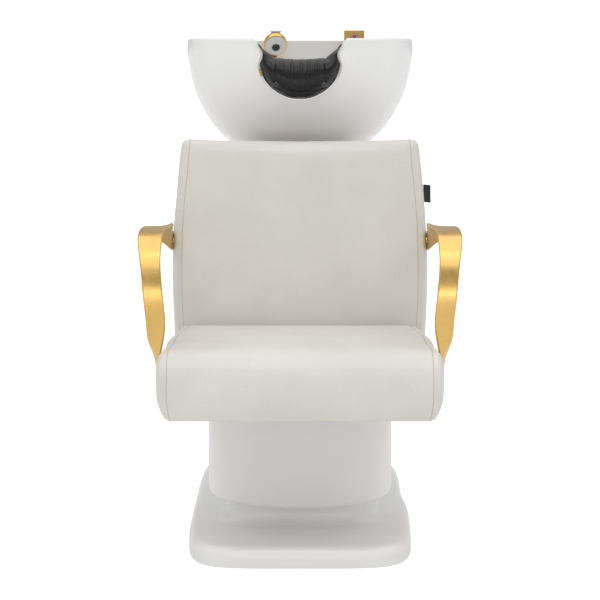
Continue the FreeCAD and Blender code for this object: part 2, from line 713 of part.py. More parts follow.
def arm_fixings():
    """The y, z and middle x of each screw of one armrest."""
    fixings = [(y, z, SEAT_ARM_MID) for y, z in SEAT_ARM_POINTS]
    return fixings + [(y, z, BACK_ARM_MID) for y, z in BACK_ARM_POINTS]


def right_arm():
    """Ribbon that stands upright at both ends and lies flat along the top."""
    line = Part.BSplineCurve()
    line.interpolate([Vector(x, y, z) for y, z, x in ARM_ROUTE])
    first, last = line.FirstParameter, line.LastParameter
    wires = []
    for i in range(ARM_SECTIONS):
        share = i / (ARM_SECTIONS - 1)
        here = first + (last - first) * share
        along = line.tangent(here)[0]
        along = Vector(0, along.y, along.z).normalize()
        inward = Vector(-1, 0, 0)
        under = along.cross(inward)
        upright = 1 - ease(share, *ARM_FLATTENS) + ease(share, *ARM_TURNS_UPRIGHT)
        angle = math.radians(90 * upright)
        # the inner edge turns up at the backrest and forward at the seat
        across = inward * math.cos(angle) - under * math.sin(angle)
        broad = ease(share, *ARM_FLATTENS) * (1 - ease(share, *ARM_NARROWS))
        width = ARM_END_WIDTH + (ARM_WIDTH - ARM_END_WIDTH) * broad
        wires.append(arm_section(line.value(here), across, across.cross(along), width))
    arm = Part.makeLoft(wires, True, False)
    return cut_all(arm, [arm_countersink(*fixing) for fixing in arm_fixings()])


def arm_bolts():
    """Countersunk screws, flush with the armrests' outer faces."""
    bolts = []
    for y, z, middle in arm_fixings():
        face = middle + ARM_THICK / 2 - 0.3
        socket = hexagon((face - 2, y, z), (1, 0, 0), 5, 3)
        bolt = arm_countersink(y, z, middle).common(rod((225, y, z), (face, y, z), 12)).cut(socket)
        bolts += [bolt, mirror_x(bolt)]
    return Part.makeCompound(bolts)


def arm_spacers(arm):
    rings = []
    for y, z, middle in arm_fixings():
        side = SEAT_HALF_X if middle == SEAT_ARM_MID else BACK_SIDE_X
        spacer = ring((side, y, z), (middle - 1, y, z), 9, 4.2).cut(arm)
        rings += [spacer, mirror_x(spacer)]
    return Part.makeCompound(rings)


# ---------------------------------------------------------------- basin
def notch_prism(y0, y1, gap=0.0):
    """Solid of the notch's outline between two depths, drawn in by gap."""
    right = [Vector(x - gap, y0, z) for x, z in NOTCH_HALF[:-2]]
    right += [Vector(x - gap, y0, z + gap) for x, z in NOTCH_HALF[-2:]]
    left = [Vector(-p.x, y0, p.z) for p in reversed(right)]
    arc = smooth_edge(right + [Vector(0, y0, NOTCH_LOW + gap)] + left)
    closing = Part.LineSegment(left[-1], right[0]).toShape()
    return Part.Face(Part.Wire([arc, closing])).extrude(Vector(0, y1 - y0, 0))


def basin_outside():
    return squircle_loft(BASIN_OUTSIDE, BASIN_UPPER_POWER)


def basin():
    outside = basin_outside()
    rim = [e for e in outside.Edges if abs(e.BoundBox.ZMin - BASIN_RIM) < 0.1 and e.BoundBox.ZLength < 0.1]
    outside = outside.makeFillet(5, rim)
    above = squircle_loft(BASIN_ABOVE_DECK, BASIN_UPPER_POWER)
    below = squircle_loft(BASIN_INSIDE, 3.2)
    pocket = squircle_loft(BASIN_POCKET, 4.0)
    tools = [above, below, notch_prism(90, 260), pocket]
    tools += [rod((DRAIN_X, DRAIN_Y, 720), (DRAIN_X, DRAIN_Y, 760), 24)]
    tools += [rod((MIXER_X, MIXER_Y, 880), (MIXER_X, MIXER_Y, 910), 17.5)]
    axis = shower_axis()
    tools += [Part.makeCylinder(17, 60, SHOWER_FOOT - axis * 30, axis)]
    tools += [rod((x, y, 700), (x, y, BASIN_BOTTOM + 9), 4) for x, y in CRADLE_BOLT_POINTS]
    return cut_all(outside, tools)


def drain_flange():
    """Chrome flange on the bowl's floor with a threaded neck through it."""
    plate = ring((DRAIN_X, DRAIN_Y, 752), (DRAIN_X, DRAIN_Y, 755), 34, 19)
    neck = ring((DRAIN_X, DRAIN_Y, 706), (DRAIN_X, DRAIN_Y, 752), 23, 19)
    return fuse([plate, neck])


def drain_gasket():
    return ring((DRAIN_X, DRAIN_Y, BASIN_BOTTOM - 3), (DRAIN_X, DRAIN_Y, BASIN_BOTTOM), 33, 23)


def drain_locknut():
    nut = hexagon((DRAIN_X, DRAIN_Y, BASIN_BOTTOM - 12), (0, 0, 1), 60, 9)
    return nut.cut(rod((DRAIN_X, DRAIN_Y, 700), (DRAIN_X, DRAIN_Y, 740), 23))


def drain_tailpiece():
    return ring((DRAIN_X, DRAIN_Y, DRAIN_HOSE_TOP), (DRAIN_X, DRAIN_Y, 722), 19, 16)


def strainer_basket():
    """Lift-out hair catcher: a perforated cup with a small knob."""
    cup = rod((DRAIN_X, DRAIN_Y, 742), (DRAIN_X, DRAIN_Y, 755.4), 18.4)
    cup = cup.fuse(rod((DRAIN_X, DRAIN_Y, 755.4), (DRAIN_X, DRAIN_Y, 757), 29))
    cup = cup.cut(rod((DRAIN_X, DRAIN_Y, 743.6), (DRAIN_X, DRAIN_Y, 758), 16.8))
    holes = []
    for count, radius in ((6, 6.5), (12, 12.5)):
        for i in range(count):
            angle = 2 * math.pi * i / count
            x, y = DRAIN_X + radius * math.cos(angle), DRAIN_Y + radius * math.sin(angle)
            holes.append(rod((x, y, 740), (x, y, 745), 1.8))
    stem = rod((DRAIN_X, DRAIN_Y, 743.6), (DRAIN_X, DRAIN_Y, 760), 2.2)
    knob = Part.makeSphere(5, Vector(DRAIN_X, DRAIN_Y, 763))
    return fuse([cut_all(cup, holes), stem, knob])


# ---------------------------------------------------------------- neck rest
PAD_FRONT, PAD_REAR = 116.0, 214.0
PAD_CREST = 943.0
PAD_GAP = 2.0
# x, z of the saddle's right half, from the wing tip to the crest
PAD_SADDLE = [(114, 999), (84, 977), (70, 959), (54, 946), (28, 943.3)]


def neck_rest():
    """Saddle pad that fills the lower part of the notch and turns up at the sides."""
    pad = notch_prism(PAD_FRONT, PAD_REAR, PAD_GAP)
    saddle = [Vector(x, PAD_FRONT - 1, z) for x, z in PAD_SADDLE]
    saddle += [Vector(0, PAD_FRONT - 1, PAD_CREST)] + [Vector(-p.x, p.y, p.z) for p in reversed(saddle)]
    top = Vector(0, 0, 60)
    lid = Part.makePolygon([saddle[-1], saddle[-1] + top, saddle[0] + top, saddle[0]])
    above = Part.Face(Part.Wire([smooth_edge(saddle)] + lid.Edges))
    return pad.cut(above.extrude(Vector(0, PAD_REAR - PAD_FRONT + 2, 0)))


FLAP_THICK = 3.0
SNAP_POINTS = [(-50, 895), (50, 895)]            # x, z


def neck_rest_flap():
    """Leather flap that closes the pad's lower front edge, with a pull tab."""
    front = PAD_FRONT - FLAP_THICK
    left, right = Vector(-62, front, 884), Vector(62, front, 884)
    low = Part.Arc(left, Vector(0, front, 861), right)
    high = Part.Arc(right, Vector(0, front, 877), left)
    flap = Part.Face(Part.Wire([low.toShape(), high.toShape()])).extrude(Vector(0, FLAP_THICK, 0))
    return flap.fuse(box(-9, 9, front, PAD_FRONT, 856, 872)).removeSplitter()


def neck_rest_snaps():
    return Part.makeCompound([rod((x, PAD_FRONT, z), (x, PAD_FRONT - FLAP_THICK, z), 5.5)
                              for x, z in SNAP_POINTS])


# ---------------------------------------------------------------- mixer tap
def mixer_base_ring():
    return ring((MIXER_X, MIXER_Y, BASIN_DECK), (MIXER_X, MIXER_Y, BASIN_DECK + 4), 31, 17)


def mixer_body():
    half = MIXER_SIDE / 2
    block = box(MIXER_X - half, MIXER_X + half, MIXER_Y - half, MIXER_Y + half, BASIN_DECK + 4, 962)
    block = block.makeFillet(3, [e for e in block.Edges if e.BoundBox.ZLength > 20])
    shank = rod((MIXER_X, MIXER_Y, MIXER_TAIL_Z), (MIXER_X, MIXER_Y, BASIN_DECK + 4), 17)
    return fuse([block, shank])


def mixer_locknut():
    nut = hexagon((MIXER_X, MIXER_Y, 887), (0, 0, 1), 42, 8)
    return nut.cut(rod((MIXER_X, MIXER_Y, 880), (MIXER_X, MIXER_Y, 900), 17))


LEVER_PIVOT_Z = 993.0
CAP_GAP = 0.6


def mixer_cap():
    """Turning square cap on the mixer, with the slot and pin of the lever."""
    half = MIXER_SIDE / 2
    cap = box(MIXER_X - half, MIXER_X + half, MIXER_Y - half, MIXER_Y + half, 962 + CAP_GAP, 978)
    cap = cap.makeFillet(3, [e for e in cap.Edges if e.BoundBox.ZLength > 10])
    posts = [box(MIXER_X + s * 12 - 3, MIXER_X + s * 12 + 3, MIXER_Y - 6, MIXER_Y + 6, 978, 998)
             for s in (-1, 1)]
    pin = rod((MIXER_X - 15, MIXER_Y, LEVER_PIVOT_Z), (MIXER_X + 15, MIXER_Y, LEVER_PIVOT_Z), 2.5)
    return fuse([cap] + posts + [pin])


def mixer_lever():
    """Square hood that lifts on the pin, with a flat paddle to the rear."""
    half = MIXER_SIDE / 2
    hood = box(MIXER_X - half, MIXER_X + half, MIXER_Y - half, MIXER_Y + half, 989, MIXER_TOP)
    paddle = box(MIXER_X - 14, MIXER_X + 14, MIXER_Y + half - 2, MIXER_Y + half + 24, 1002, MIXER_TOP)
    hood = hood.fuse(paddle)
    hood = hood.cut(box(MIXER_X - 19, MIXER_X + 19, MIXER_Y - 17, MIXER_Y + 17, 980, 1004))
    ear = box(MIXER_X - 8, MIXER_X + 8, MIXER_Y - 6, MIXER_Y + 6, 988.6, 1005)
    ear = ear.cut(rod((MIXER_X - 20, MIXER_Y, LEVER_PIVOT_Z), (MIXER_X + 20, MIXER_Y, LEVER_PIVOT_Z), 2.55))
    return fuse([hood, ear])


def mixer_dot():
    front = MIXER_Y - MIXER_SIDE / 2
    return rod((MIXER_X, front, 1001), (MIXER_X, front - 0.8, 1001), 4.5)


# ---------------------------------------------------------------- hand shower
HEAD_CORE = SHOWER_HEAD - SHOWER_FACE * 17  # where the handle's axis meets the head


def shower_axis():
    return (HEAD_CORE - SHOWER_FOOT).normalize()


SLEEVE_DEPTH = 42.0
SLEEVE_RADIUS = 15.0
SHOWER_TIP_LENGTH = 21.0        # handle below the deck


def shower_sleeve():
    """Deck collar that the handle rests in."""
    axis = shower_axis()
    collar = Part.makeCylinder(20, 20, SHOWER_FOOT - axis * 8, axis)
    collar = collar.cut(box(-200, 0, 500, 700, 800, BASIN_DECK))
    tube = Part.makeCylinder(SLEEVE_RADIUS, SLEEVE_DEPTH + 12, SHOWER_FOOT - axis * SLEEVE_DEPTH, axis)
    return fuse([collar, tube]).cut(Part.makeCylinder(12.08, 80, SHOWER_FOOT - axis * 60, axis))


def sleeve_locknut():
    axis = shower_axis()
    low = SHOWER_FOOT - axis * 38
    nut = hexagon((low.x, low.y, low.z), (axis.x, axis.y, axis.z), 36, 7)
    return nut.cut(Part.makeCylinder(SLEEVE_RADIUS, 40, low - axis * 10, axis))


def shower_handle():
    """Round handle that swells from the sleeve to the head."""
    axis = shower_axis()
    tip = Part.makeCylinder(12, SHOWER_TIP_LENGTH + 13, SHOWER_FOOT - axis * SHOWER_TIP_LENGTH, axis)
    start = SHOWER_FOOT + axis * 12.4
    reach = (HEAD_CORE - start).Length
    stations = [(0, 15), (reach * 0.3, 15.5), (reach * 0.62, 15), (reach - 4, 12)]
    wires = [Part.Wire(Part.Circle(start + axis * d, axis, r).toShape()) for d, r in stations]
    grip = Part.makeLoft(wires, True, False)
    front = Part.makeCylinder(HEAD_RADIUS, 30, SHOWER_HEAD - SHOWER_FACE * 8, SHOWER_FACE)
    return fuse([tip, grip]).cut(head_outside()).cut(front)


HEAD_DEPTH = 26.0
HEAD_RADIUS = 27.5


def head_profile_solid(radii):
    """Solid of revolution about the face's axis from (depth behind the face, radius) pairs."""
    wires = [Part.Wire(Part.Circle(SHOWER_HEAD - SHOWER_FACE * depth, SHOWER_FACE, radius).toShape())
             for depth, radius in radii]
    return Part.makeLoft(wires, True, False)


def head_outside():
    return head_profile_solid([(0, HEAD_RADIUS), (9, HEAD_RADIUS), (18, 25), (HEAD_DEPTH, 17)])


def shower_shell():
    """Gold cup behind the spray face, closed at the rear."""
    hollow = Part.makeCylinder(25, 8, SHOWER_HEAD - SHOWER_FACE * 6, SHOWER_FACE)
    return cut_all(head_outside(), [hollow] + button_room())


def shower_face():
    disc = Part.makeCylinder(25, 8, SHOWER_HEAD - SHOWER_FACE * 6, SHOWER_FACE)
    recess = Part.makeCylinder(9.8, 4, SHOWER_HEAD - SHOWER_FACE * 1, SHOWER_FACE)
    return disc.cut(recess)


def spray_plate():
    plate = Part.makeCylinder(9.8, 2.4, SHOWER_HEAD - SHOWER_FACE * 1, SHOWER_FACE)
    side = SHOWER_FACE.cross(Vector(1, 0, 0)).normalize()
    other = SHOWER_FACE.cross(side)
    holes = []
    for count, radius in ((1, 0), (6, 3.6), (12, 7.2)):
        for i in range(count):
            angle = 2 * math.pi * i / count
            spot = SHOWER_HEAD + side * radius * math.cos(angle) + other * radius * math.sin(angle)
            holes.append(Part.makeCylinder(0.6, 4, spot + SHOWER_FACE * 0.4, SHOWER_FACE))
    return cut_all(plate, holes)


BUTTON_BASE = SHOWER_HEAD + Vector(0, 14, 16)
BUTTON_TRAVEL = 3.0


def button_room():
    """Well for the cap's stem, and a wider one for its rim."""
    up = Vector(0, 0, 1)
    return [Part.makeCylinder(11.2, 40, BUTTON_BASE, up),
            Part.makeCylinder(13.2, 30, BUTTON_BASE + up * 10.5, up)]


def shower_button():
    """Press cap on top of the head."""
    stem = Part.makeCylinder(10.8, 13, BUTTON_BASE + Vector(0, 0, 4), Vector(0, 0, 1))
    cap = Part.makeCylinder(12.5, 4, BUTTON_BASE + Vector(0, 0, 15), Vector(0, 0, 1))
    cap = cap.makeFillet(1.5, [e for e in cap.Edges if e.BoundBox.ZLength < 0.1])
    return fuse([stem, cap])


def shower_hose():
    """Flexible hose that hangs in a loop under the deck, from the mixer to the handle."""
    axis = shower_axis()
    end = SHOWER_FOOT - axis * (SHOWER_TIP_LENGTH + 0.5)
    before = SHOWER_FOOT - axis * 66
    route = [OUTLET_TAIL, (MIXER_X, OUTLET_TAIL[1], 846), (104, 584, 818), (62, 572, 802), (14, 565, 796),
             (-34, 567, 802), (-76, 576, 818), (before.x, before.y, before.z), (end.x, end.y, end.z)]
    return pipe(route, 6.0)


# ---------------------------------------------------------------- write the nodes
def main():
    shell, cover, screws = shell_parts()
    arm = right_arm()
    nodes = {
        "floor_plate": floor_plate(),
        "front_posts": front_posts(),
        "rear_posts": rear_posts(),
        "frame_rails": frame_rails(),
        "seat_plate": seat_plate(),
        "tilt_bracket": tilt_bracket(),
        "tilt_axle": tilt_axle(),
        "tilt_washers": tilt_washers(),
        "tilt_nuts": tilt_nuts(),
        "base_shell": shell,
        "rear_cover": cover,
        "cover_screws": screws,
        "inlet_panel": inlet_panel(),
        "cold_inlet": water_inlet(COLD_PORT_X),
        "hot_inlet": water_inlet(HOT_PORT_X),
        "inlet_nuts": inlet_nuts(),
        "drain_outlet": drain_outlet(),
        "drain_hose": drain_hose(),
        "cold_hose": cold_hose(),
        "hot_hose": hot_hose(),
        "hose_clips": hose_clips(),
        "seat_board": seat_board(),
        "seat_cushion": seat_cushion(),
        "seat_bolts": seat_bolts(),
        "back_board": back_board(),
        "back_cushion": back_cushion(),
        "back_brackets": back_brackets(),
        "back_screws": back_screws(),
        "side_tag": side_tag(),
        "right_arm": arm,
        "left_arm": mirror_x(arm),
        "arm_bolts": arm_bolts(),
        "arm_spacers": arm_spacers(arm),
        "basin": basin(),
        "basin_cradle": basin_cradle(),
        "tilt_bushes": tilt_bushes(),
        "cradle_bolts": cradle_bolts(),
        "drain_flange": drain_flange(),
        "drain_gasket": drain_gasket(),
        "drain_locknut": drain_locknut(),
        "drain_tailpiece": drain_tailpiece(),
        "strainer_basket": strainer_basket(),
        "neck_rest": neck_rest(),
        "neck_rest_flap": neck_rest_flap(),
        "neck_rest_snaps": neck_rest_snaps(),
        "mixer_base_ring": mixer_base_ring(),
        "mixer_body": mixer_body(),
        "mixer_locknut": mixer_locknut(),
        "mixer_cap": mixer_cap(),
        "mixer_lever": mixer_lever(),
        "mixer_dot": mixer_dot(),
        "shower_sleeve": shower_sleeve(),
        "sleeve_locknut": sleeve_locknut(),
        "shower_handle": shower_handle(),
        "shower_shell": shower_shell(),
        "shower_face": shower_face(),
        "spray_plate": spray_plate(),
        "shower_button": shower_button(),
        "shower_hose": shower_hose(),
    }
    for name, shape in nodes.items():
        save(name, shape)
    print(len(nodes), "nodes written")


main()
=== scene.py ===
"""Looks of the shampoo backwash unit: leather, gilding, moulded shells and hoses round the CAD frame.

Metres, in the frame's axes: +Z is up, the sitter faces -Y, and +X is the sitter's left.
"""
import json
import math

import bpy
import numpy as np
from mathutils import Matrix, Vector
from mathutils.bvhtree import BVHTree
from mathutils.kdtree import KDTree


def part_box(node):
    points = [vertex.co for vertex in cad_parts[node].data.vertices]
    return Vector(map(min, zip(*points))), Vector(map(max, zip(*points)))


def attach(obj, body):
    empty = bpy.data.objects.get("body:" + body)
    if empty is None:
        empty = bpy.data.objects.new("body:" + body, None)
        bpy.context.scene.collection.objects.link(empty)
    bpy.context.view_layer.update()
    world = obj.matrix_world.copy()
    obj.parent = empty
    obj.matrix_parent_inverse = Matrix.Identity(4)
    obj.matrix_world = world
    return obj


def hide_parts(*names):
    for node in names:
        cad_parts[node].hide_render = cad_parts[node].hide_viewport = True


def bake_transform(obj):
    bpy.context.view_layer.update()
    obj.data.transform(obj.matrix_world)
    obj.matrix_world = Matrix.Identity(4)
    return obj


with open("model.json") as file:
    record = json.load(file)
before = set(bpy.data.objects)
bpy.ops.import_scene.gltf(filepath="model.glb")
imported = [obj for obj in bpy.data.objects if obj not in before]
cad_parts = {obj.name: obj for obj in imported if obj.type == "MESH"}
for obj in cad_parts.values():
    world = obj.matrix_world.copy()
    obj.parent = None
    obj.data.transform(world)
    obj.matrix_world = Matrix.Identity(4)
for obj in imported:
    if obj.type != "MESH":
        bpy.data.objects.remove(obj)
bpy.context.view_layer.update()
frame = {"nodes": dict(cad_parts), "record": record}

NODES = frame["nodes"]

MM = 0.001

# the camera stands in front of the seat and looks slightly down
CAMERA_PLACE = (0.0, -3.637, 0.938)
CAMERA_TILT = math.radians(82.38)
CAMERA_LENS = 106.7


# ---------------------------------------------------------------- camera, floor and light
def add_camera():
    data = bpy.data.cameras.new("camera")
    data.lens = CAMERA_LENS
    camera = bpy.data.objects.new("camera", data)
    camera.location = CAMERA_PLACE
    camera.rotation_euler = (CAMERA_TILT, 0, 0)
    bpy.context.collection.objects.link(camera)
    bpy.context.scene.camera = camera


FLOOR_HALF = 60.0
FLOOR_GLOW = 0.5                # makes the paper look white without lighting the unit from below


def add_floor():
    """Wide pale floor whose far edge meets the equally pale sky."""
    half = FLOOR_HALF
    corners = [(-half, -half, 0), (half, -half, 0), (half, half, 0), (-half, half, 0)]
    mesh = bpy.data.meshes.new("floor")
    mesh.from_pydata(corners, [], [(0, 1, 2, 3)])
    floor = bpy.data.objects.new("floor", mesh)
    bpy.context.collection.objects.link(floor)
    material, tree, shader = new_material("floor_paper")
    tint = noise_ramp(tree, 3.0, (0.93, 0.93, 0.93), (0.96, 0.96, 0.96))
    tree.links.new(tint, shader.inputs["Base Color"])
    shader.inputs["Roughness"].default_value = 0.9
    shader.inputs["Specular IOR Level"].default_value = 0.1
    shader.inputs["Emission Color"].default_value = (1.0, 1.0, 1.0, 1.0)
    path = tree.nodes.new("ShaderNodeLightPath")
    glow = tree.nodes.new("ShaderNodeMath")
    glow.operation = "MULTIPLY"
    glow.inputs[1].default_value = FLOOR_GLOW
    tree.links.new(path.outputs["Is Camera Ray"], glow.inputs[0])
    tree.links.new(glow.outputs["Value"], shader.inputs["Emission Strength"])
    mesh.materials.append(material)


# the sky's strength as the camera sees it, in glossy reflections, and as a light
SKY_SEEN, SKY_MIRRORED, SKY_LIGHT = 1.05, 0.52, 0.38


def add_sky():
    """White backdrop that lights the object less strongly than it looks."""
    world = bpy.data.worlds.new("studio")
    world.use_nodes = True
    tree = world.node_tree
    path = tree.nodes.new("ShaderNodeLightPath")
    strengths = []
    for ray, seen in (("Is Glossy Ray", SKY_MIRRORED - SKY_LIGHT), ("Is Camera Ray", SKY_SEEN - SKY_LIGHT)):
        extra = tree.nodes.new("ShaderNodeMath")
        extra.operation = "MULTIPLY_ADD"
        extra.inputs[1].default_value = seen
        extra.inputs[2].default_value = SKY_LIGHT
        tree.links.new(path.outputs[ray], extra.inputs[0])
        if strengths:
            tree.links.new(strengths[-1], extra.inputs[2])
        strengths.append(extra.outputs["Value"])
    tree.links.new(strengths[-1], tree.nodes["Background"].inputs["Strength"])
    tree.nodes["Background"].inputs["Color"].default_value = (1.0, 1.0, 1.0, 1.0)
    bpy.context.scene.world = world


OVERHEAD_POWER = 1.95
OVERHEAD_SPREAD, OVERHEAD_LEAN = math.radians(100), math.radians(4)


def add_overhead_light():
    """Very large soft light from above and slightly in front, the same all over the floor."""
    data = bpy.data.lights.new("overhead", "SUN")
    data.energy = OVERHEAD_POWER
    data.angle = OVERHEAD_SPREAD
    lamp = bpy.data.objects.new("overhead", data)
    lamp.rotation_euler = (OVERHEAD_LEAN, 0, 0)
    bpy.context.collection.objects.link(lamp)


def add_softbox(name, place, aim, size, power):
    data = bpy.data.lights.new(name, "AREA")
    data.shape = "RECTANGLE"
    data.size, data.size_y = size
    data.energy = power
    lamp = bpy.data.objects.new(name, data)
    lamp.location = place
    lamp.rotation_euler = (Vector(aim) - Vector(place)).to_track_quat("-Z", "Y").to_euler()
    bpy.context.collection.objects.link(lamp)


MIDDLE, NECK_REST = (0.0, 0.0, 0.55), (0.0, 0.1, 0.9)
# name, place, what it aims at, width and height in metres, power in watts
SOFTBOXES = [
    ("side_box", (-2.4, -0.5, 1.1), MIDDLE, (1.2, 2.0), 2.5),
    ("side_box", (2.4, -0.5, 1.1), MIDDLE, (1.2, 2.0), 2.5),
    ("crown_box", (0.0, -1.3, 2.7), NECK_REST, (0.5, 0.25), 3.0),
    ("front_box", (-1.0, -3.4, 2.4), MIDDLE, (0.8, 1.2), 2.0),
    ("low_box", (0.0, -3.4, 0.35), MIDDLE, (2.4, 0.5), 8.0),
]


def add_lights():
    add_sky()
    add_overhead_light()
    for softbox in SOFTBOXES:
        add_softbox(*softbox)


# ---------------------------------------------------------------- material building blocks
def new_material(name):
    material = bpy.data.materials.new(name)
    material.use_nodes = True
    tree = material.node_tree
    return material, tree, tree.nodes["Principled BSDF"]


def place_coordinates(tree, stretch=(1.0, 1.0, 1.0)):
    """Coordinates in metres on the piece itself, stretched along the axes."""
    source = tree.nodes.new("ShaderNodeTexCoord")
    mapping = tree.nodes.new("ShaderNodeMapping")
    mapping.inputs["Scale"].default_value = stretch
    tree.links.new(source.outputs["Object"], mapping.inputs["Vector"])
    return mapping.outputs["Vector"]


def noise_field(tree, scale, detail=3.0, stretch=(1.0, 1.0, 1.0)):
    noise = tree.nodes.new("ShaderNodeTexNoise")
    noise.inputs["Scale"].default_value = scale
    noise.inputs["Detail"].default_value = detail
    tree.links.new(place_coordinates(tree, stretch), noise.inputs["Vector"])
    return noise.outputs["Fac"]


def cell_field(tree, scale, feature="SMOOTH_F1"):
    cells = tree.nodes.new("ShaderNodeTexVoronoi")
    cells.feature = feature
    cells.inputs["Scale"].default_value = scale
    tree.links.new(place_coordinates(tree), cells.inputs["Vector"])
    return cells.outputs["Distance"]


def ramp(tree, value, low_colour, high_colour, low=0.3, high=0.7):
    node = tree.nodes.new("ShaderNodeValToRGB")
    node.color_ramp.elements[0].position = low
    node.color_ramp.elements[0].color = (*low_colour, 1.0)
    node.color_ramp.elements[1].position = high
    node.color_ramp.elements[1].color = (*high_colour, 1.0)
    tree.links.new(value, node.inputs["Fac"])
    return node.outputs["Color"]


def noise_ramp(tree, scale, low_colour, high_colour, detail=3.0, stretch=(1.0, 1.0, 1.0)):
    return ramp(tree, noise_field(tree, scale, detail, stretch), low_colour, high_colour)


def spread(tree, value, low, high):
    """The value from 0.3 to 0.7 spread between low and high."""
    node = tree.nodes.new("ShaderNodeMapRange")
    node.inputs["From Min"].default_value = 0.3
    node.inputs["From Max"].default_value = 0.7
    node.inputs["To Min"].default_value = low
    node.inputs["To Max"].default_value = high
    tree.links.new(value, node.inputs["Value"])
    return node.outputs["Result"]


def add_bump(tree, shader, height, depth, strength=1.0, below=None):
    bump = tree.nodes.new("ShaderNodeBump")
    bump.inputs["Strength"].default_value = strength
    bump.inputs["Distance"].default_value = depth
    tree.links.new(height, bump.inputs["Height"])
    if below is not None:
        tree.links.new(below, bump.inputs["Normal"])
    tree.links.new(bump.outputs["Normal"], shader.inputs["Normal"])
    return bump.outputs["Normal"]


def shade(colour, share):
    return tuple(min(1.0, c * share) for c in colour)


def moulded(name, colour, roughness, coat=0.0, ripple=0.05 * MM):
    """Moulded plastic: faint tint drift, uneven gloss and the slight ripple of a large moulding."""
    material, tree, shader = new_material(name)
    tint = noise_ramp(tree, 4.0, shade(colour, 0.98), shade(colour, 1.005))
    tree.links.new(tint, shader.inputs["Base Color"])
    gloss = spread(tree, noise_field(tree, 7.0, 1.0), roughness - 0.02, roughness + 0.03)
    tree.links.new(gloss, shader.inputs["Roughness"])
    shader.inputs["Coat Weight"].default_value = coat
    shader.inputs["Coat Roughness"].default_value = 0.12
    slow = add_bump(tree, shader, noise_field(tree, 9.0, 0.0), ripple)
    add_bump(tree, shader, noise_field(tree, 900.0, 2.0), 0.004 * MM, 1.0, slow)
    return material


def leather(name, colour, roughness, grain=850.0, grain_depth=0.12 * MM, sheen=0.05, shine=0.5):
    """Upholstery leather: pebble grain, fine pores, slow colour drift and uneven shine."""
    material, tree, shader = new_material(name)
    drift = noise_ramp(tree, 9.0, shade(colour, 0.95), shade(colour, 1.03))
    pores = ramp(tree, cell_field(tree, grain), (1.0, 1.0, 1.0), (0.93, 0.925, 0.91), 0.35, 0.75)
    mix = tree.nodes.new("ShaderNodeMix")
    mix.data_type = "RGBA"
    mix.blend_type = "MULTIPLY"
    mix.inputs["Factor"].default_value = 1.0
    tree.links.new(drift, mix.inputs["A"])
    tree.links.new(pores, mix.inputs["B"])
    tree.links.new(mix.outputs["Result"], shader.inputs["Base Color"])
    gloss = spread(tree, noise_field(tree, 60.0), roughness - 0.05, roughness + 0.07)
    tree.links.new(gloss, shader.inputs["Roughness"])
    shader.inputs["Sheen Weight"].default_value = sheen
    shader.inputs["Sheen Roughness"].default_value = 0.4
    shader.inputs["Specular IOR Level"].default_value = shine
    soft = add_bump(tree, shader, noise_field(tree, 45.0, 2.0), 0.35 * MM, 0.5)
    pebbles = add_bump(tree, shader, cell_field(tree, grain), -grain_depth, 0.8, soft)
    add_bump(tree, shader, noise_field(tree, 2600.0, 2.0), 0.03 * MM, 0.6, pebbles)
    return material


def gilded(name, colour, roughness):
    """Satin gold plate with a faint brushed lay and soft smears in its shine."""
    material, tree, shader = new_material(name)
    tint = noise_ramp(tree, 14.0, shade(colour, 0.94), shade(colour, 1.04))
    tree.links.new(tint, shader.inputs["Base Color"])
    shader.inputs["Metallic"].default_value = 1.0
    gloss = spread(tree, noise_field(tree, 40.0, 4.0), roughness - 0.05, roughness + 0.06)
    tree.links.new(gloss, shader.inputs["Roughness"])
    lay = add_bump(tree, shader, noise_field(tree, 260.0, 2.0, (1.0, 6.0, 1.0)), 0.02 * MM)
    add_bump(tree, shader, noise_field(tree, 30.0, 1.0), 0.1 * MM, 0.6, lay)
    return material


def bare_metal(name, colour, roughness, spangle=160.0):
    """Plated or turned metal with crystalline tint patches and fine scratches."""
    material, tree, shader = new_material(name)
    tint = ramp(tree, cell_field(tree, spangle), shade(colour, 0.86), shade(colour, 1.06), 0.1, 0.8)
    tree.links.new(tint, shader.inputs["Base Color"])
    shader.inputs["Metallic"].default_value = 1.0
    gloss = spread(tree, noise_field(tree, 90.0, 5.0), roughness - 0.06, roughness + 0.1)
    tree.links.new(gloss, shader.inputs["Roughness"])
    add_bump(tree, shader, noise_field(tree, 700.0, 4.0, (1.0, 1.0, 8.0)), 0.02 * MM)
    return material


def powder_coat(name, colour):
    """Textured powder coat on steel, rubbed a little paler in patches."""
    material, tree, shader = new_material(name)
    tint = noise_ramp(tree, 18.0, shade(colour, 0.85), shade(colour, 1.25), 6.0)
    tree.links.new(tint, shader.inputs["Base Color"])
    shader.inputs["Metallic"].default_value = 0.2
    gloss = spread(tree, noise_field(tree, 55.0), 0.42, 0.6)
    tree.links.new(gloss, shader.inputs["Roughness"])
    add_bump(tree, shader, noise_field(tree, 1300.0, 3.0), 0.08 * MM)
    return material


def wood_ply(name):
    """Birch plywood: long grain across the sheet and thin darker plies."""
    material, tree, shader = new_material(name)
    grain = noise_ramp(tree, 30.0, (0.50, 0.33, 0.18), (0.70, 0.52, 0.33), 8.0, (1.0, 9.0, 9.0))
    tree.links.new(grain, shader.inputs["Base Color"])
    shader.inputs["Roughness"].default_value = 0.65
    add_bump(tree, shader, noise_field(tree, 90.0, 6.0, (1.0, 9.0, 9.0)), 0.12 * MM)
    return material


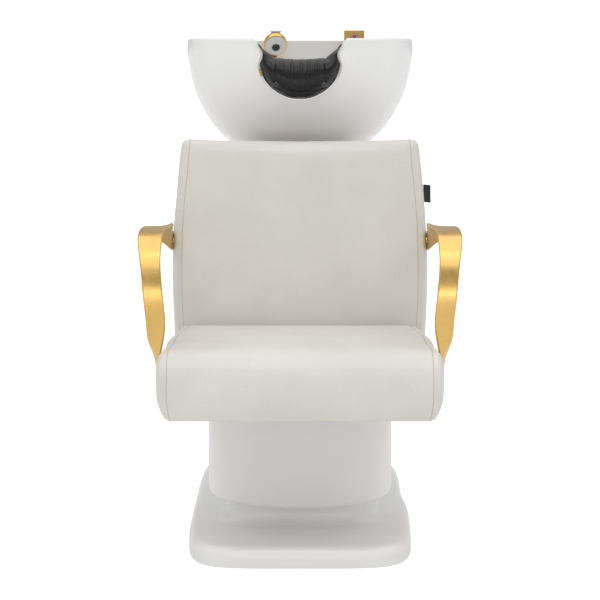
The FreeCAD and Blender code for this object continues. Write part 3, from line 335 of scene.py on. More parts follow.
def woven(name, colour, threads):
    """Plain weave: two crossed sets of threads, with painted shade in the hollows and painted highlight where
    the threads cross.
    """
    material, tree, shader = new_material(name)
    heights = []
    for direction in ("X", "Z"):
        wave = tree.nodes.new("ShaderNodeTexWave")
        wave.bands_direction = direction
        wave.inputs["Scale"].default_value = threads
        wave.inputs["Distortion"].default_value = 0.4
        tree.links.new(place_coordinates(tree), wave.inputs["Vector"])
        heights.append(wave.outputs["Fac"])
    weave = tree.nodes.new("ShaderNodeMath")
    weave.operation = "MULTIPLY"
    tree.links.new(heights[0], weave.inputs[0])
    tree.links.new(heights[1], weave.inputs[1])
    # darker in the hollows and lighter on the raised crossings: painted shade and painted highlight of the
    # weave
    tint = ramp(tree, weave.outputs["Value"], shade(colour, 0.6), shade(colour, 1.5), 0.0, 0.8)
    tree.links.new(tint, shader.inputs["Base Color"])
    shader.inputs["Roughness"].default_value = 0.85
    shader.inputs["Sheen Weight"].default_value = 0.3
    add_bump(tree, shader, weave.outputs["Value"], 0.1 * MM)
    return material


def braided(name, colour, pitch):
    """Steel braid on a hose: two crossed diagonal sets of wires, with painted shade in the gaps between them.
    """
    material, tree, shader = new_material(name)
    heights = []
    for slant in (math.radians(40), math.radians(-40)):
        source = tree.nodes.new("ShaderNodeTexCoord")
        mapping = tree.nodes.new("ShaderNodeMapping")
        mapping.inputs["Rotation"].default_value = (slant, slant, 0)
        wave = tree.nodes.new("ShaderNodeTexWave")
        wave.bands_direction = "Z"
        wave.inputs["Scale"].default_value = pitch
        tree.links.new(source.outputs["Object"], mapping.inputs["Vector"])
        tree.links.new(mapping.outputs["Vector"], wave.inputs["Vector"])
        heights.append(wave.outputs["Fac"])
    crossed = tree.nodes.new("ShaderNodeMath")
    crossed.operation = "MAXIMUM"
    tree.links.new(heights[0], crossed.inputs[0])
    tree.links.new(heights[1], crossed.inputs[1])
    # the low gaps between the wires are painted down to a quarter of the steel colour: painted shade
    tint = ramp(tree, crossed.outputs["Value"], shade(colour, 0.25), colour, 0.3, 0.8)
    tree.links.new(tint, shader.inputs["Base Color"])
    shader.inputs["Metallic"].default_value = 1.0
    shader.inputs["Roughness"].default_value = 0.3
    add_bump(tree, shader, crossed.outputs["Value"], 0.3 * MM)
    return material


def two_tone_dot(name):
    """Temperature dot: blue on one side of its middle and red on the other."""
    material, tree, shader = new_material(name)
    lo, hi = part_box("mixer_dot")
    middle = (lo.x + hi.x) / 2
    source = tree.nodes.new("ShaderNodeTexCoord")
    split = tree.nodes.new("ShaderNodeSeparateXYZ")
    tree.links.new(source.outputs["Object"], split.inputs["Vector"])
    side = tree.nodes.new("ShaderNodeMapRange")
    side.inputs["From Min"].default_value = middle - 0.2 * MM
    side.inputs["From Max"].default_value = middle + 0.2 * MM
    tree.links.new(split.outputs["X"], side.inputs["Value"])
    tint = ramp(tree, side.outputs["Result"], (0.70, 0.02, 0.02), (0.02, 0.08, 0.55), 0.0, 1.0)
    tree.links.new(tint, shader.inputs["Base Color"])
    shader.inputs["Roughness"].default_value = 0.2
    shader.inputs["Coat Weight"].default_value = 0.6
    return material


CREAM = (0.69, 0.67, 0.62)
GOLD = (0.70, 0.455, 0.150)
MATERIALS = {
    "white_shell": moulded("shell_white", (0.85, 0.85, 0.845), 0.30, 0.2),
    "white_basin": moulded("basin_white", (0.85, 0.85, 0.845), 0.24, 0.25),
    "cream_leather": leather("cream_leather", CREAM, 0.42),
    "gold": gilded("gold_plate", GOLD, 0.26),
    "black_leather": leather("black_leather", (0.006, 0.006, 0.0075), 0.28, 1000.0, 0.05 * MM, 0.0, 0.35),
    "black_fabric": woven("tag_fabric", (0.012, 0.012, 0.013), 420.0),
    "white_plastic": moulded("face_white", (0.74, 0.74, 0.74), 0.28),
    "pale_plastic": moulded("button_pale", (0.62, 0.66, 0.68), 0.25),
    "dark_plastic": moulded("plate_dark", (0.03, 0.03, 0.032), 0.35),
    "indicator": two_tone_dot("temperature_dot"),
    "plywood": wood_ply("birch_ply"),
    "frame_steel": powder_coat("steel_powder_coat", (0.06, 0.062, 0.066)),
    "zinc_steel": bare_metal("zinc_plate", (0.62, 0.63, 0.65), 0.32),
    "brass_fitting": bare_metal("turned_brass", (0.72, 0.52, 0.24), 0.28),
    "chrome_fitting": bare_metal("bright_steel", (0.78, 0.79, 0.80), 0.14, 60.0),
    "waste_plastic": moulded("waste_grey", (0.46, 0.47, 0.48), 0.45),
    "black_rubber": moulded("rubber_black", (0.02, 0.02, 0.02), 0.62),
    "nylon": moulded("nylon_natural", (0.66, 0.64, 0.58), 0.45),
}
BRAID = braided("hose_braid", (0.70, 0.71, 0.73), 260.0)
THREAD = woven("stitch_thread", (0.46, 0.45, 0.40), 900.0)
# the needle holes' dark colour is painted shade: the discs stand in for the shade inside the holes
NEEDLE_HOLE_SHADE = moulded("needle_hole_shade", (0.26, 0.25, 0.22), 0.8)


def dress_cad_nodes():
    """Gives each CAD node the material of its slot in the record."""
    for part in frame["record"]["subparts"]:
        node = NODES[part["node"]]
        for place in node.material_slots:
            place.material = MATERIALS[part["material_slot"]]


# ---------------------------------------------------------------- mesh helpers
def new_piece(name, points, faces, material, smooth=True):
    mesh = bpy.data.meshes.new(name)
    mesh.from_pydata([tuple(p) for p in points], [], faces)
    mesh.validate()
    mesh.polygons.foreach_set("use_smooth", [smooth] * len(mesh.polygons))
    mesh.materials.append(material)
    piece = bpy.data.objects.new(name, mesh)
    bpy.context.collection.objects.link(piece)
    return piece


def settle(piece):
    """Replaces the piece's mesh by what its modifiers make of it."""
    graph = bpy.context.evaluated_depsgraph_get()
    mesh = bpy.data.meshes.new_from_object(piece.evaluated_get(graph))
    piece.modifiers.clear()
    piece.data = mesh
    mesh.polygons.foreach_set("use_smooth", [True] * len(mesh.polygons))


def mesh_points(mesh):
    points = np.empty(len(mesh.vertices) * 3)
    mesh.vertices.foreach_get("co", points)
    return points.reshape(-1, 3)


def set_mesh_points(mesh, points):
    mesh.vertices.foreach_set("co", np.asarray(points, float).ravel())
    mesh.update()


def mesh_normals(mesh):
    normals = np.empty(len(mesh.vertices) * 3)
    mesh.vertices.foreach_get("normal", normals)
    return normals.reshape(-1, 3)


def remesh(piece, voxel):
    modifier = piece.modifiers.new("even_mesh", "REMESH")
    modifier.mode = "VOXEL"
    modifier.voxel_size = voxel
    settle(piece)


def subdivide(piece):
    modifier = piece.modifiers.new("finer", "SUBSURF")
    modifier.levels = 1
    modifier.render_levels = 1
    settle(piece)


def near(points, lines, reach):
    """Distance from each point to the nearest point of the lines, up to reach."""
    tree = KDTree(len(lines))
    for i, spot in enumerate(lines):
        tree.insert(spot, i)
    tree.balance()
    return np.array([min(reach, tree.find(p)[2]) for p in points])


def inflate(piece, pinned, pressure, cap):
    """Blows the piece up like a filled cover, held at its pinned points, and no point moves more than cap."""
    rest = mesh_points(piece.data)
    group = piece.vertex_groups.new(name="pins")
    group.add([int(i) for i in np.nonzero(pinned)[0]], 1.0, "REPLACE")
    cloth = piece.modifiers.new("filled_cover", "CLOTH")
    cloth.settings.quality = 5
    cloth.settings.use_pressure = True
    cloth.settings.uniform_pressure_force = pressure
    cloth.settings.vertex_group_mass = group.name
    cloth.settings.effector_weights.gravity = 0.0
    cloth.collision_settings.use_collision = False
    for step in range(1, 21):
        bpy.context.scene.frame_set(step)
    graph = bpy.context.evaluated_depsgraph_get()
    blown = mesh_points(piece.evaluated_get(graph).data)
    piece.modifiers.clear()
    piece.vertex_groups.clear()
    move = blown - rest
    length = np.linalg.norm(move, axis=1)
    share = cap * np.tanh(length / cap) / np.maximum(length, 1e-9)
    set_mesh_points(piece.data, rest + move * share[:, None])
    bpy.context.scene.frame_set(1)


# ---------------------------------------------------------------- outlines
def inset_corners(corners, depth):
    """Corners of a counterclockwise polygon after each side has moved inwards by depth."""
    moved = []
    for before, here, after in zip(corners[-1:] + corners[:-1], corners, corners[1:] + corners[:1]):
        along, onward = (here - before).normalized(), (after - here).normalized()
        inward, next_inward = Vector((-along.y, along.x)), Vector((-onward.y, onward.x))
        moved.append(here + (inward + next_inward) * (depth / (1 + inward.dot(next_inward))))
    return moved


def rounded_outline(corners, radii, count):
    """Closed outline with rounded corners, as count evenly spaced points."""
    points = []
    for before, here, after, radius in zip(corners[-1:] + corners[:-1], corners,
                                           corners[1:] + corners[:1], radii):
        back, ahead = (before - here).normalized(), (after - here).normalized()
        half = back.angle(ahead) / 2
        centre = here + (back + ahead).normalized() * (radius / math.sin(half))
        start = here + back * (radius / math.tan(half))
        end = here + ahead * (radius / math.tan(half))
        for i in range(13):
            chord = start.lerp(end, i / 12)
            points.append(centre + (chord - centre).normalized() * radius)
    return even_points(points, count)


def even_points(points, count):
    """Points at even distances round a closed line."""
    line = np.array([tuple(p) for p in points] + [tuple(points[0])])
    steps = np.linalg.norm(np.diff(line, axis=0), axis=1)
    along = np.concatenate([[0], np.cumsum(steps)])
    spots = np.linspace(0, along[-1], count, endpoint=False)
    return np.stack([np.interp(spots, along, line[:, k]) for k in range(line.shape[1])], axis=1)


def smooth_step(value, low, high):
    share = min(1.0, max(0.0, (value - low) / (high - low)))
    return share * share * (3 - 2 * share)


# ---------------------------------------------------------------- stitched seams
def press_seams(piece, seam, depth, width):
    """Sinks the cover along a seam line and puffs it up slightly on both sides."""
    mesh = piece.data
    points, normals = mesh_points(mesh), mesh_normals(mesh)
    away = near(points, seam, 4 * width)
    groove = depth * np.exp(-(away / width) ** 2)
    swell = 0.35 * depth * np.exp(-((away - 2.2 * width) / width) ** 2)
    set_mesh_points(mesh, points + normals * (swell - groove)[:, None])


THREAD_RINGS = [(-0.5, 0.2, -0.5), (-0.36, 0.85, 0.15), (0.0, 1.0, 0.42), (0.36, 0.85, 0.15),
                (0.5, 0.2, -0.5)]


def stitches(name, piece, rows, pitch, share, radius, thread, hole=None):
    """Rows of separate thread stitches laid on the piece's surface, with small dark discs between them as
    painted shade of the needle holes.
    """
    surface = BVHTree.FromObject(piece, bpy.context.evaluated_depsgraph_get())
    points, faces, kinds = [], [], []
    for row in rows:
        length = sum((b - a).length for a, b in zip(row, row[1:] + row[:1]))
        spots = even_points(row, max(8, int(length / pitch)))
        for here, there in zip(spots, np.roll(spots, -1, axis=0)):
            here, there = Vector(here), Vector(there)
            spot, normal, _, _ = surface.find_nearest((here + there) / 2)
            along = (there - here).normalized()
            across = normal.cross(along).normalized()
            base = len(points)
            for part, girth, lift in THREAD_RINGS:
                centre = spot + along * (part * share * pitch) + normal * (lift * radius)
                for i in range(6):
                    turn = math.pi * i / 3
                    outwards = across * math.cos(turn) + normal * math.sin(turn)
                    points.append(centre + outwards * girth * radius)
            for ring in range(len(THREAD_RINGS) - 1):
                for i in range(6):
                    a, b = base + 6 * ring + i, base + 6 * ring + (i + 1) % 6
                    faces.append((a, b, b + 6, a + 6))
                    kinds.append(0)
            faces.append(tuple(base + i for i in reversed(range(6))))
            faces.append(tuple(base + 6 * (len(THREAD_RINGS) - 1) + i for i in range(6)))
            kinds += [0, 0]
            # each needle hole is a small domed disc in the dark hole colour, painted shade in place of a real
            # hole
            if hole is not None:
                spot, normal, _, _ = surface.find_nearest(there)
                across = normal.cross(along).normalized()
                base = len(points)
                points.append(spot + normal * 0.25 * MM)
                for i in range(8):
                    turn = math.pi * i / 4
                    points.append(spot + (across * math.cos(turn) + along * math.sin(turn)) * 1.5 * radius
                                  + normal * 0.1 * MM)
                faces += [(base, base + 1 + i, base + 1 + (i + 1) % 8) for i in range(8)]
                kinds += [1] * 8
    made = new_piece(name, points, faces, thread)
    if hole is not None:
        made.data.materials.append(hole)
        made.data.polygons.foreach_set("material_index", kinds)
    return made


# ---------------------------------------------------------------- wrapped cushions
OUTLINE_POINTS = 150
WRAP_STATIONS = 24
SIDE_STATIONS = 6
COVER_SLACK = 2.5 * MM          # how far a cover starts inside its final shape


def wrapped_cushion(name, corners, radii, place, seam_x, bulge, side_round):
    """Closed cushion: a cover wrapped round a side outline, and a bulged panel at each end.

    place(x, point) puts an outline point in the frame, seam_x(point) is the half width at the
    side seams, bulge(point) is how far a side panel stands out past them.
    """
    rings = []
    outline = rounded_outline(inset_corners(corners, COVER_SLACK), radii, OUTLINE_POINTS)
    for i in range(WRAP_STATIONS + 1):
        share = 2 * i / WRAP_STATIONS - 1
        rings.append([place(share * seam_x(p), p) for p in outline])
    for i in range(1, SIDE_STATIONS + 1):
        turn = math.pi / 2 * i / SIDE_STATIONS
        depth = COVER_SLACK + side_round * (1 - math.cos(turn))
        tighter = [max(1.0 * MM, r - depth) for r in radii]
        loop = rounded_outline(inset_corners(corners, depth), tighter, OUTLINE_POINTS)
        right = [place(seam_x(p) + bulge(p) * math.sin(turn), p) for p in loop]
        left = [place(-seam_x(p) - bulge(p) * math.sin(turn), p) for p in loop]
        rings = [left] + rings + [right]
    points = [p for ring in rings for p in ring]
    faces = []
    for k in range(len(rings) - 1):
        for i in range(OUTLINE_POINTS):
            a, b = k * OUTLINE_POINTS + i, k * OUTLINE_POINTS + (i + 1) % OUTLINE_POINTS
            faces.append((a, b, b + OUTLINE_POINTS, a + OUTLINE_POINTS))
    last = (len(rings) - 1) * OUTLINE_POINTS
    faces.append(tuple(reversed(range(OUTLINE_POINTS))))
    faces.append(tuple(last + i for i in range(OUTLINE_POINTS)))
    return new_piece(name, points, faces, MATERIALS["cream_leather"])


def side_lines(corners, radii, place, seam_x, inwards):
    """The right and left line round the outline, inwards from the side seams."""
    outline = rounded_outline(inset_corners(corners, COVER_SLACK), radii, 900)
    return [[place(side * (seam_x(p) - inwards), p) for p in outline] for side in (1, -1)]


CUSHION_VOXEL = 6 * MM
STITCH_PITCH = 10 * MM
STITCH_SHARE = 0.72
STITCH_RADIUS = 0.55 * MM
TOPSTITCH_INSET = 5.5 * MM


def upholster(name, corners, radii, place, seam_x, bulge, side_round, held):
    """Makes a cushion, fills it, sews its side seams and returns it with its stitches.

    held(point) says whether the board behind keeps that point of the cover flat.
    """
    cushion = wrapped_cushion(name, corners, radii, place, seam_x, bulge, side_round)
    remesh(cushion, CUSHION_VOXEL)
    seams = side_lines(corners, radii, place, seam_x, 0.0)
    seam_points = seams[0] + seams[1]
    points = mesh_points(cushion.data)
    pinned = near(points, seam_points, 1.0) < CUSHION_VOXEL
    pinned |= np.array([held(Vector(p)) for p in points])
    inflate(cushion, pinned, 4.0, 5 * MM)
    subdivide(cushion)
    press_seams(cushion, seam_points, 1.3 * MM, 2.8 * MM)
    sewn = stitches(name + "_stitches", cushion, side_lines(corners, radii, place, seam_x, TOPSTITCH_INSET),
                    STITCH_PITCH, STITCH_SHARE, STITCH_RADIUS, THREAD, NEEDLE_HOLE_SHADE)
    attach(cushion, "root")
    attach(sewn, "root")
    return cushion


LEAN = math.radians(13)


def seat_cushion():
    lo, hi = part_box("seat_cushion")
    rise = 6 * MM                           # the top climbs this much from the rear to the front crest
    depth = hi.y - lo.y
    rear_low = Vector((hi.y - (hi.z - rise - lo.z) * math.tan(LEAN), lo.z))
    corners = [Vector((lo.y + 2 * MM, lo.z)), rear_low, Vector((hi.y, hi.z - rise)),
               Vector((lo.y, hi.z + rise * 0.15))]
    radii = [10 * MM, 8 * MM, 16 * MM, 56 * MM]
    widest_z = lo.z + 71 * MM

    def tuck(z):
        return min(1.0, max(0.0, (widest_z - z) / (70 * MM)))

    def narrowing(y):
        return 16 * MM * smooth_step(y, lo.y + 0.5 * depth, hi.y)

    def fuller(y):
        return 4 * MM * (1 - smooth_step(y, lo.y + 0.15 * depth, lo.y + 0.35 * depth))

    def seam_x(point):
        return 242 * MM + fuller(point[0]) - 7 * MM * tuck(point[1]) ** 3 - narrowing(point[0])

    def bulge(point):
        return 15 * MM - 11 * MM * tuck(point[1]) ** 3

    def place(x, point):
        return Vector((x, point[0], point[1]))

    def held(spot):
        return spot.z < lo.z + 5 * MM or spot.y > hi.y - 0.13 * (spot.z - lo.z)

    piece = upholster("seat_pad", corners, radii, place, seam_x, bulge, 17 * MM, held)
    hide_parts("seat_cushion")


BACK_HALF_WIDTHS = [(-0.084, 0.247), (0.014, 0.254), (0.110, 0.2585), (0.235, 0.256), (0.382, 0.2415)]
BACK_LOW, BACK_HIGH, BACK_THICK, BACK_SAG = -0.084, 0.400, 0.078, 0.006
BACK_CROWN = 9 * MM             # how far the filled top stands above the cushion's solid


def back_half_width(up):
    """Half width of the backrest at a distance up it, smoothed over a short stretch."""
    spots, widths = zip(*BACK_HALF_WIDTHS)
    window = [up + offset * MM for offset in (-50, -25, 0, 25, 50)]
    return float(np.mean(np.interp(window, spots, widths)))


def back_place(x, deep, up):
    """Point of the leaning backrest at x, behind its front face and up it."""
    lo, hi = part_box("back_cushion")
    root_y = lo.y - BACK_LOW * math.sin(LEAN)
    root_z = hi.z + BACK_CROWN - BACK_HIGH * math.cos(LEAN)
    sag = BACK_SAG * (1 - (x / 0.24) ** 2) * smooth_step(up, 0.3, BACK_HIGH)
    up -= sag
    return Vector((x, root_y + up * math.sin(LEAN) + deep * math.cos(LEAN),
                   root_z + up * math.cos(LEAN) - deep * math.sin(LEAN)))


def back_cushion():
    corners = [Vector((0, BACK_LOW)), Vector((BACK_THICK + 0.6 * MM, BACK_LOW)),
               Vector((BACK_THICK + 0.6 * MM, BACK_HIGH)), Vector((0, BACK_HIGH))]
    radii = [10 * MM, 10 * MM, 14 * MM, 20 * MM]
    origin = back_place(0, 0, 0)
    rearward = Vector((0, math.cos(LEAN), -math.sin(LEAN)))

    def seam_x(point):
        return back_half_width(point[1]) - 10.5 * MM

    def bulge(point):
        return 13.5 * MM

    def place(x, point):
        return back_place(x, point[0], point[1])

    def held(spot):
        return (spot - origin).dot(rearward) > BACK_THICK - 5 * MM

    piece = upholster("back_pad", corners, radii, place, seam_x, bulge, 16 * MM, held)
    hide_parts("back_cushion")


# ---------------------------------------------------------------- neck rest
# right half of the rest's edges as seen from the front: x, z from the tip of the wing to the middle
REST_UNDERSIDE = [(87.5, 975), (83, 966), (80.5, 955), (82, 944), (87, 931), (78, 904), (57, 879.5),
                  (28, 863.5), (0, 859.5)]
REST_SADDLE = [(87.5, 975), (80, 969), (69, 960), (57, 950.5), (50, 947), (36, 945.2), (18, 943.9),
               (0, 943.5)]
REST_FRONT_Y, REST_CREST_Y, REST_REAR_Y = 116 * MM, 160 * MM, 213 * MM
REST_COLUMNS = 241
PLEAT_HALF_X = 53 * MM
PLEAT_PITCH = 6.6 * MM


def curve_through(points, count):
    """Smooth line through the points, evenly spaced: a Catmull-Rom curve."""
    spots = [Vector(p) for p in points]
    spots = [spots[0] * 2 - spots[1]] + spots + [spots[-1] * 2 - spots[-2]]
    line = []
    for a, b, c, d in zip(spots, spots[1:], spots[2:], spots[3:]):
        for i in range(16):
            t = i / 16
            line.append(0.5 * (2 * b + (c - a) * t + (2 * a - 5 * b + 4 * c - d) * t * t
                               + (3 * b - a - 3 * c + d) * t ** 3))
    line.append(spots[-2])
    steps = [0.0]
    for a, b in zip(line, line[1:]):
        steps.append(steps[-1] + (b - a).length)
    spread_out = np.linspace(0, steps[-1], count)
    axes = [np.interp(spread_out, steps, [p[k] for p in line]) for k in range(len(line[0]))]
    return np.stack(axes, axis=1)


def both_halves(half, count):
    """The whole edge, left tip to right tip, from its right half."""
    right = [(x * MM, z * MM) for x, z in half]
    left = [(-x, z) for x, z in right]
    return curve_through(left + right[-2::-1], count)


def pleat_height(x, rise):
    """How far the gathered leather stands out: folds that wander, deepest near the crest."""
    wander = 1.3 * MM * math.sin(rise * 5.0 + x * 90.0) + 0.8 * MM * math.sin(rise * 11.0 + x * 210.0)
    fan = x * (1 + 0.10 * math.sin(rise * 3.0))
    phase = (fan + wander) / PLEAT_PITCH
    fold = abs(math.sin(math.pi * phase)) ** 0.7
    uneven = 0.75 + 0.25 * math.sin(2.1 * phase + 1.3)
    inside = 1 - smooth_step(abs(x), PLEAT_HALF_X - 4 * MM, PLEAT_HALF_X)
    along = smooth_step(rise, 0.25, 0.6) * (1 - smooth_step(rise, 0.88, 1.1))
    seam = 1.6 * MM * math.exp(-((abs(x) - PLEAT_HALF_X) / (1.4 * MM)) ** 2) * smooth_step(rise, 0.05, 0.2)
    swell = 1.0 * MM * inside * smooth_step(rise, 0.1, 0.4)
    return 3.2 * MM * fold * uneven * inside * along + swell - seam


def rest_section(low, high, wing):
    """Closed cross-section of the rest: points with how far up the front they are."""
    crest = Vector((high[0], REST_CREST_Y, high[1]))
    height = math.hypot(high[0] - low[0], high[1] - low[1])
    drop = min(24 * MM, 0.35 * height)
    front = REST_FRONT_Y + 14 * MM * wing
    path = [(0.00, 34 * MM + front, 0.0), (0.16, 12 * MM + front, 0.0), (0.42, 2 * MM + front, 0.0),
            (0.72, 6 * MM + front, 0.0), (0.92, 22 * MM + front, 0.0), (1.0, REST_CREST_Y, 0.0)]
    points, rises = [], []
    knots = [Vector((share, y)) for share, y, _ in path]
    for share, y in curve_through([tuple(k) for k in knots], 44):
        x = low[0] + (high[0] - low[0]) * share
        z = low[1] + (high[1] - low[1]) * share
        points.append(Vector((x, y, z)))
        rises.append(share)
    for i in range(1, 19):
        turn = math.pi / 2 * i / 18
        y = REST_CREST_Y + (REST_REAR_Y - REST_CREST_Y) * math.sin(turn)
        share = drop * (1 - math.cos(turn)) / max(height, 1e-6)
        points.append(Vector((crest.x + (low[0] - crest.x) * share, y, crest.z + (low[1] - crest.z) * share)))
        rises.append(1 + 0.8 * i / 18)
    rear = points[-1].copy()
    floor = Vector((low[0], REST_REAR_Y - 6 * MM, low[1]))
    for i in range(1, 11):
        points.append(rear.lerp(floor, i / 10))
        rises.append(2.0)
    back = Vector((low[0], 34 * MM + front, low[1]))
    for i in range(1, 10):
        points.append(floor.lerp(back, i / 10))
        rises.append(3.0)
    return points, rises


def neck_rest_pad():
    """Gathered leather saddle with plain wings, closed all round."""
    under = both_halves(REST_UNDERSIDE, REST_COLUMNS)
    saddle = both_halves(REST_SADDLE, REST_COLUMNS)
    points, rises = [], []
    for low, high in zip(under, saddle):
        wing = smooth_step(abs(low[0] + high[0]) / 2, 52 * MM, 88 * MM)
        section, rise = rest_section(low, high, wing)
        points += section
        rises += rise
    ring = len(points) // REST_COLUMNS
    faces = []
    for k in range(REST_COLUMNS - 1):
        for i in range(ring):
            a, b = k * ring + i, k * ring + (i + 1) % ring
            faces.append((a, a + ring, b + ring, b))
    faces.append(tuple(range(ring)))
    faces.append(tuple(reversed(range((REST_COLUMNS - 1) * ring, REST_COLUMNS * ring))))
    rest = new_piece("neck_rest_cover", points, faces, MATERIALS["black_leather"])
    mesh = rest.data
    spots, normals = mesh_points(mesh), mesh_normals(mesh)
    lift = np.array([pleat_height(p[0], r) if r < 2 else 0.0 for p, r in zip(spots, rises)])
    set_mesh_points(mesh, spots + normals * (lift - 1.2 * MM)[:, None])
    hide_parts("neck_rest")
    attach(rest, "basin")
    return rest


def on_front(surface, x, z, lift):
    """Point that lies on the front of a surface, lifted off it towards the sitter."""
    spot, normal, _, _ = surface.ray_cast(Vector((x, -1.0, z)), Vector((0, 1, 0)))
    if spot is None:
        spot, normal, _, _ = surface.find_nearest(Vector((x, REST_FRONT_Y, z)))
    return spot + normal * lift, normal


def leather_strip(name, surface, upper, lower, rows, thick):
    """Thin leather strip that lies on a surface between an upper and a lower edge of (x, z) points."""
    columns = len(upper)
    fronts, backs = [], []
    for k in range(columns):
        for i in range(rows):
            share = i / (rows - 1)
            x = upper[k][0] + (lower[k][0] - upper[k][0]) * share
            z = upper[k][1] + (lower[k][1] - upper[k][1]) * share
            rim = min(1.0, 3.0 * min(share, 1 - share) + 0.35)
            spot, normal = on_front(surface, x, z, 0.0)
            fronts.append(spot + normal * thick * rim)
            backs.append(spot - normal * 0.5 * MM)
    points = fronts + backs
    half = len(fronts)
    faces = []
    for k in range(columns - 1):
        for i in range(rows - 1):
            a = k * rows + i
            faces.append((a, a + 1, a + rows + 1, a + rows))
            faces.append((half + a, half + a + rows, half + a + rows + 1, half + a + 1))
    edge = [k * rows for k in range(columns)] + [(columns - 1) * rows + i for i in range(1, rows)]
    edge += [k * rows + rows - 1 for k in range(columns - 2, -1, -1)] + [i for i in range(rows - 2, 0, -1)]
    for a, b in zip(edge, edge[1:] + edge[:1]):
        faces.append((a, b, half + b, half + a))
    return new_piece(name, points, faces, MATERIALS["black_leather"])


def neck_rest_flap(surface):
    """Leather flap along the rest's lower edge, with a pull tab in the middle."""
    count = 61
    width = 56 * MM
    upper, lower = [], []
    for k in range(count):
        x = width * (2 * k / (count - 1) - 1)
        bow = 1 - (x / width) ** 2
        upper.append((x, 886.5 * MM - 11 * MM * bow))
        lower.append((x, 883.0 * MM - 20.5 * MM * bow))
    flap = leather_strip("neck_rest_flap_cover", surface, upper, lower, 9, 2.2 * MM)
    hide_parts("neck_rest_flap")
    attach(flap, "basin")
    tab_surface = BVHTree.FromObject(flap, bpy.context.evaluated_depsgraph_get())
    upper = [(x * MM, 876.5 * MM) for x in range(-7, 8)]
    lower = [(x * MM, 863.5 * MM) for x in range(-7, 8)]
    tab = leather_strip("neck_rest_tab", tab_surface, upper, lower, 7, 1.8 * MM)
    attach(tab, "basin")


def revolved(name, centres, axis, profile, material, around=48):
    """Discs or caps turned about an axis from a profile of (radius, height along the axis) in millimetres."""
    side = axis.orthogonal().normalized()
    other = axis.cross(side)
    points, faces = [], []
    for centre in centres:
        base = len(points)
        for radius, height in profile:
            for i in range(around):
                turn = 2 * math.pi * i / around
                outwards = side * math.cos(turn) + other * math.sin(turn)
                points.append(centre + outwards * radius * MM + axis * height * MM)
        for k in range(len(profile) - 1):
            for i in range(around):
                a, b = base + k * around + i, base + k * around + (i + 1) % around
                faces.append((a, a + around, b + around, b))
        last = base + (len(profile) - 1) * around
        faces.append(tuple(base + i for i in range(around)))
        faces.append(tuple(last + i for i in reversed(range(around))))
    return new_piece(name, points, faces, material)


# profiles are radius and height above the seat of the piece, in millimetres, from the middle outwards
SNAP_PROFILE = [(1.0, 1.7), (2.2, 1.9), (3.2, 2.4), (4.3, 3.0), (5.4, 2.9), (6.4, 2.0), (7.0, 0.6),
                (7.0, -1.2)]


def neck_rest_snaps(surface):
    """Two gunmetal snap caps, each with a raised ring and a dished middle."""
    spots = [on_front(surface, side * 50 * MM, 891 * MM, 0.0) for side in (-1, 1)]
    normal = (spots[0][1] + spots[1][1]).normalized()
    snaps = revolved("neck_rest_snap_caps", [spot for spot, _ in spots], normal, SNAP_PROFILE,
                     bare_metal("gunmetal", (0.10, 0.10, 0.11), 0.16))
    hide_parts("neck_rest_snaps")
    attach(snaps, "basin")


# ---------------------------------------------------------------- hand shower's face and the mixer's dot
SPRAY_AXIS = Vector((0.10, -0.84, -0.53)).normalized()
FACE_PROFILE = [(9.9, 5.9), (10.2, 6.9), (11.2, 6.7), (11.8, 5.6), (12.3, 5.5), (12.9, 5.9), (16.6, 4.1),
                (17.2, 3.2), (17.8, 3.2), (18.5, 3.4), (22.6, 1.7), (24.2, 1.0), (24.9, 0.2), (25.0, -1.2)]
PLATE_PROFILE = [(0.6, 6.6), (4.5, 6.5), (5.0, 6.1), (5.6, 6.1), (6.1, 6.4), (9.0, 6.2), (9.8, 5.7),
                 (9.9, 4.6)]
NOZZLE_PROFILE = [(0.35, 1.1), (0.8, 1.0), (1.0, 0.4), (1.1, -0.5)]
NOZZLE_RINGS = ((5, 3.2), (10, 7.6))        # how many nozzles, and the ring's radius in millimetres
NOZZLE_LIFT = 6.3 * MM
FACE_DEPTH = 4.0 * MM                       # from the middle of the face's solid to its front


def centre_of(node):
    lo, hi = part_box(node)
    return (lo + hi) / 2


def shower_face():
    """Stepped white face with a dark plate of soft nozzles at its middle."""
    middle = centre_of("shower_face")
    front = middle + SPRAY_AXIS * FACE_DEPTH
    face = revolved("shower_face_rings", [front], SPRAY_AXIS, FACE_PROFILE, MATERIALS["white_plastic"], 72)
    plate = revolved("spray_plate_disc", [front], SPRAY_AXIS, PLATE_PROFILE, MATERIALS["dark_plastic"])
    side = SPRAY_AXIS.orthogonal().normalized()
    other = SPRAY_AXIS.cross(side)
    spots = []
    for count, radius in NOZZLE_RINGS:
        for i in range(count):
            turn = 2 * math.pi * i / count
            outwards = side * math.cos(turn) + other * math.sin(turn)
            spots.append(front + outwards * radius * MM + SPRAY_AXIS * NOZZLE_LIFT)
    nozzles = revolved("spray_nozzles", spots, SPRAY_AXIS, NOZZLE_PROFILE, MATERIALS["black_rubber"], 12)
    for piece, node, slot in ((face, "shower_face", "white_plastic"), (plate, "spray_plate", "dark_plastic"),
                              (nozzles, None, "dark_plastic")):
        if node:
            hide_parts(node)
        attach(piece, "shower")


DOT_PROFILE = [(0.4, 1.3), (2.4, 1.2), (3.6, 0.9), (4.3, 0.5), (4.5, 0.0), (4.5, -0.6)]
DOT_DROP = 3.0 * MM


def mixer_dot():
    """Domed two-colour dot, low on the front of the lever."""
    lo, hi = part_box("mixer_dot")
    place = Vector(((lo.x + hi.x) / 2, hi.y, (lo.z + hi.z) / 2 - DOT_DROP))
    dot = revolved("mixer_dot_cap", [place], Vector((0, -1, 0)), DOT_PROFILE, MATERIALS["indicator"], 32)
    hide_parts("mixer_dot")
    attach(dot, "mixer_lever")


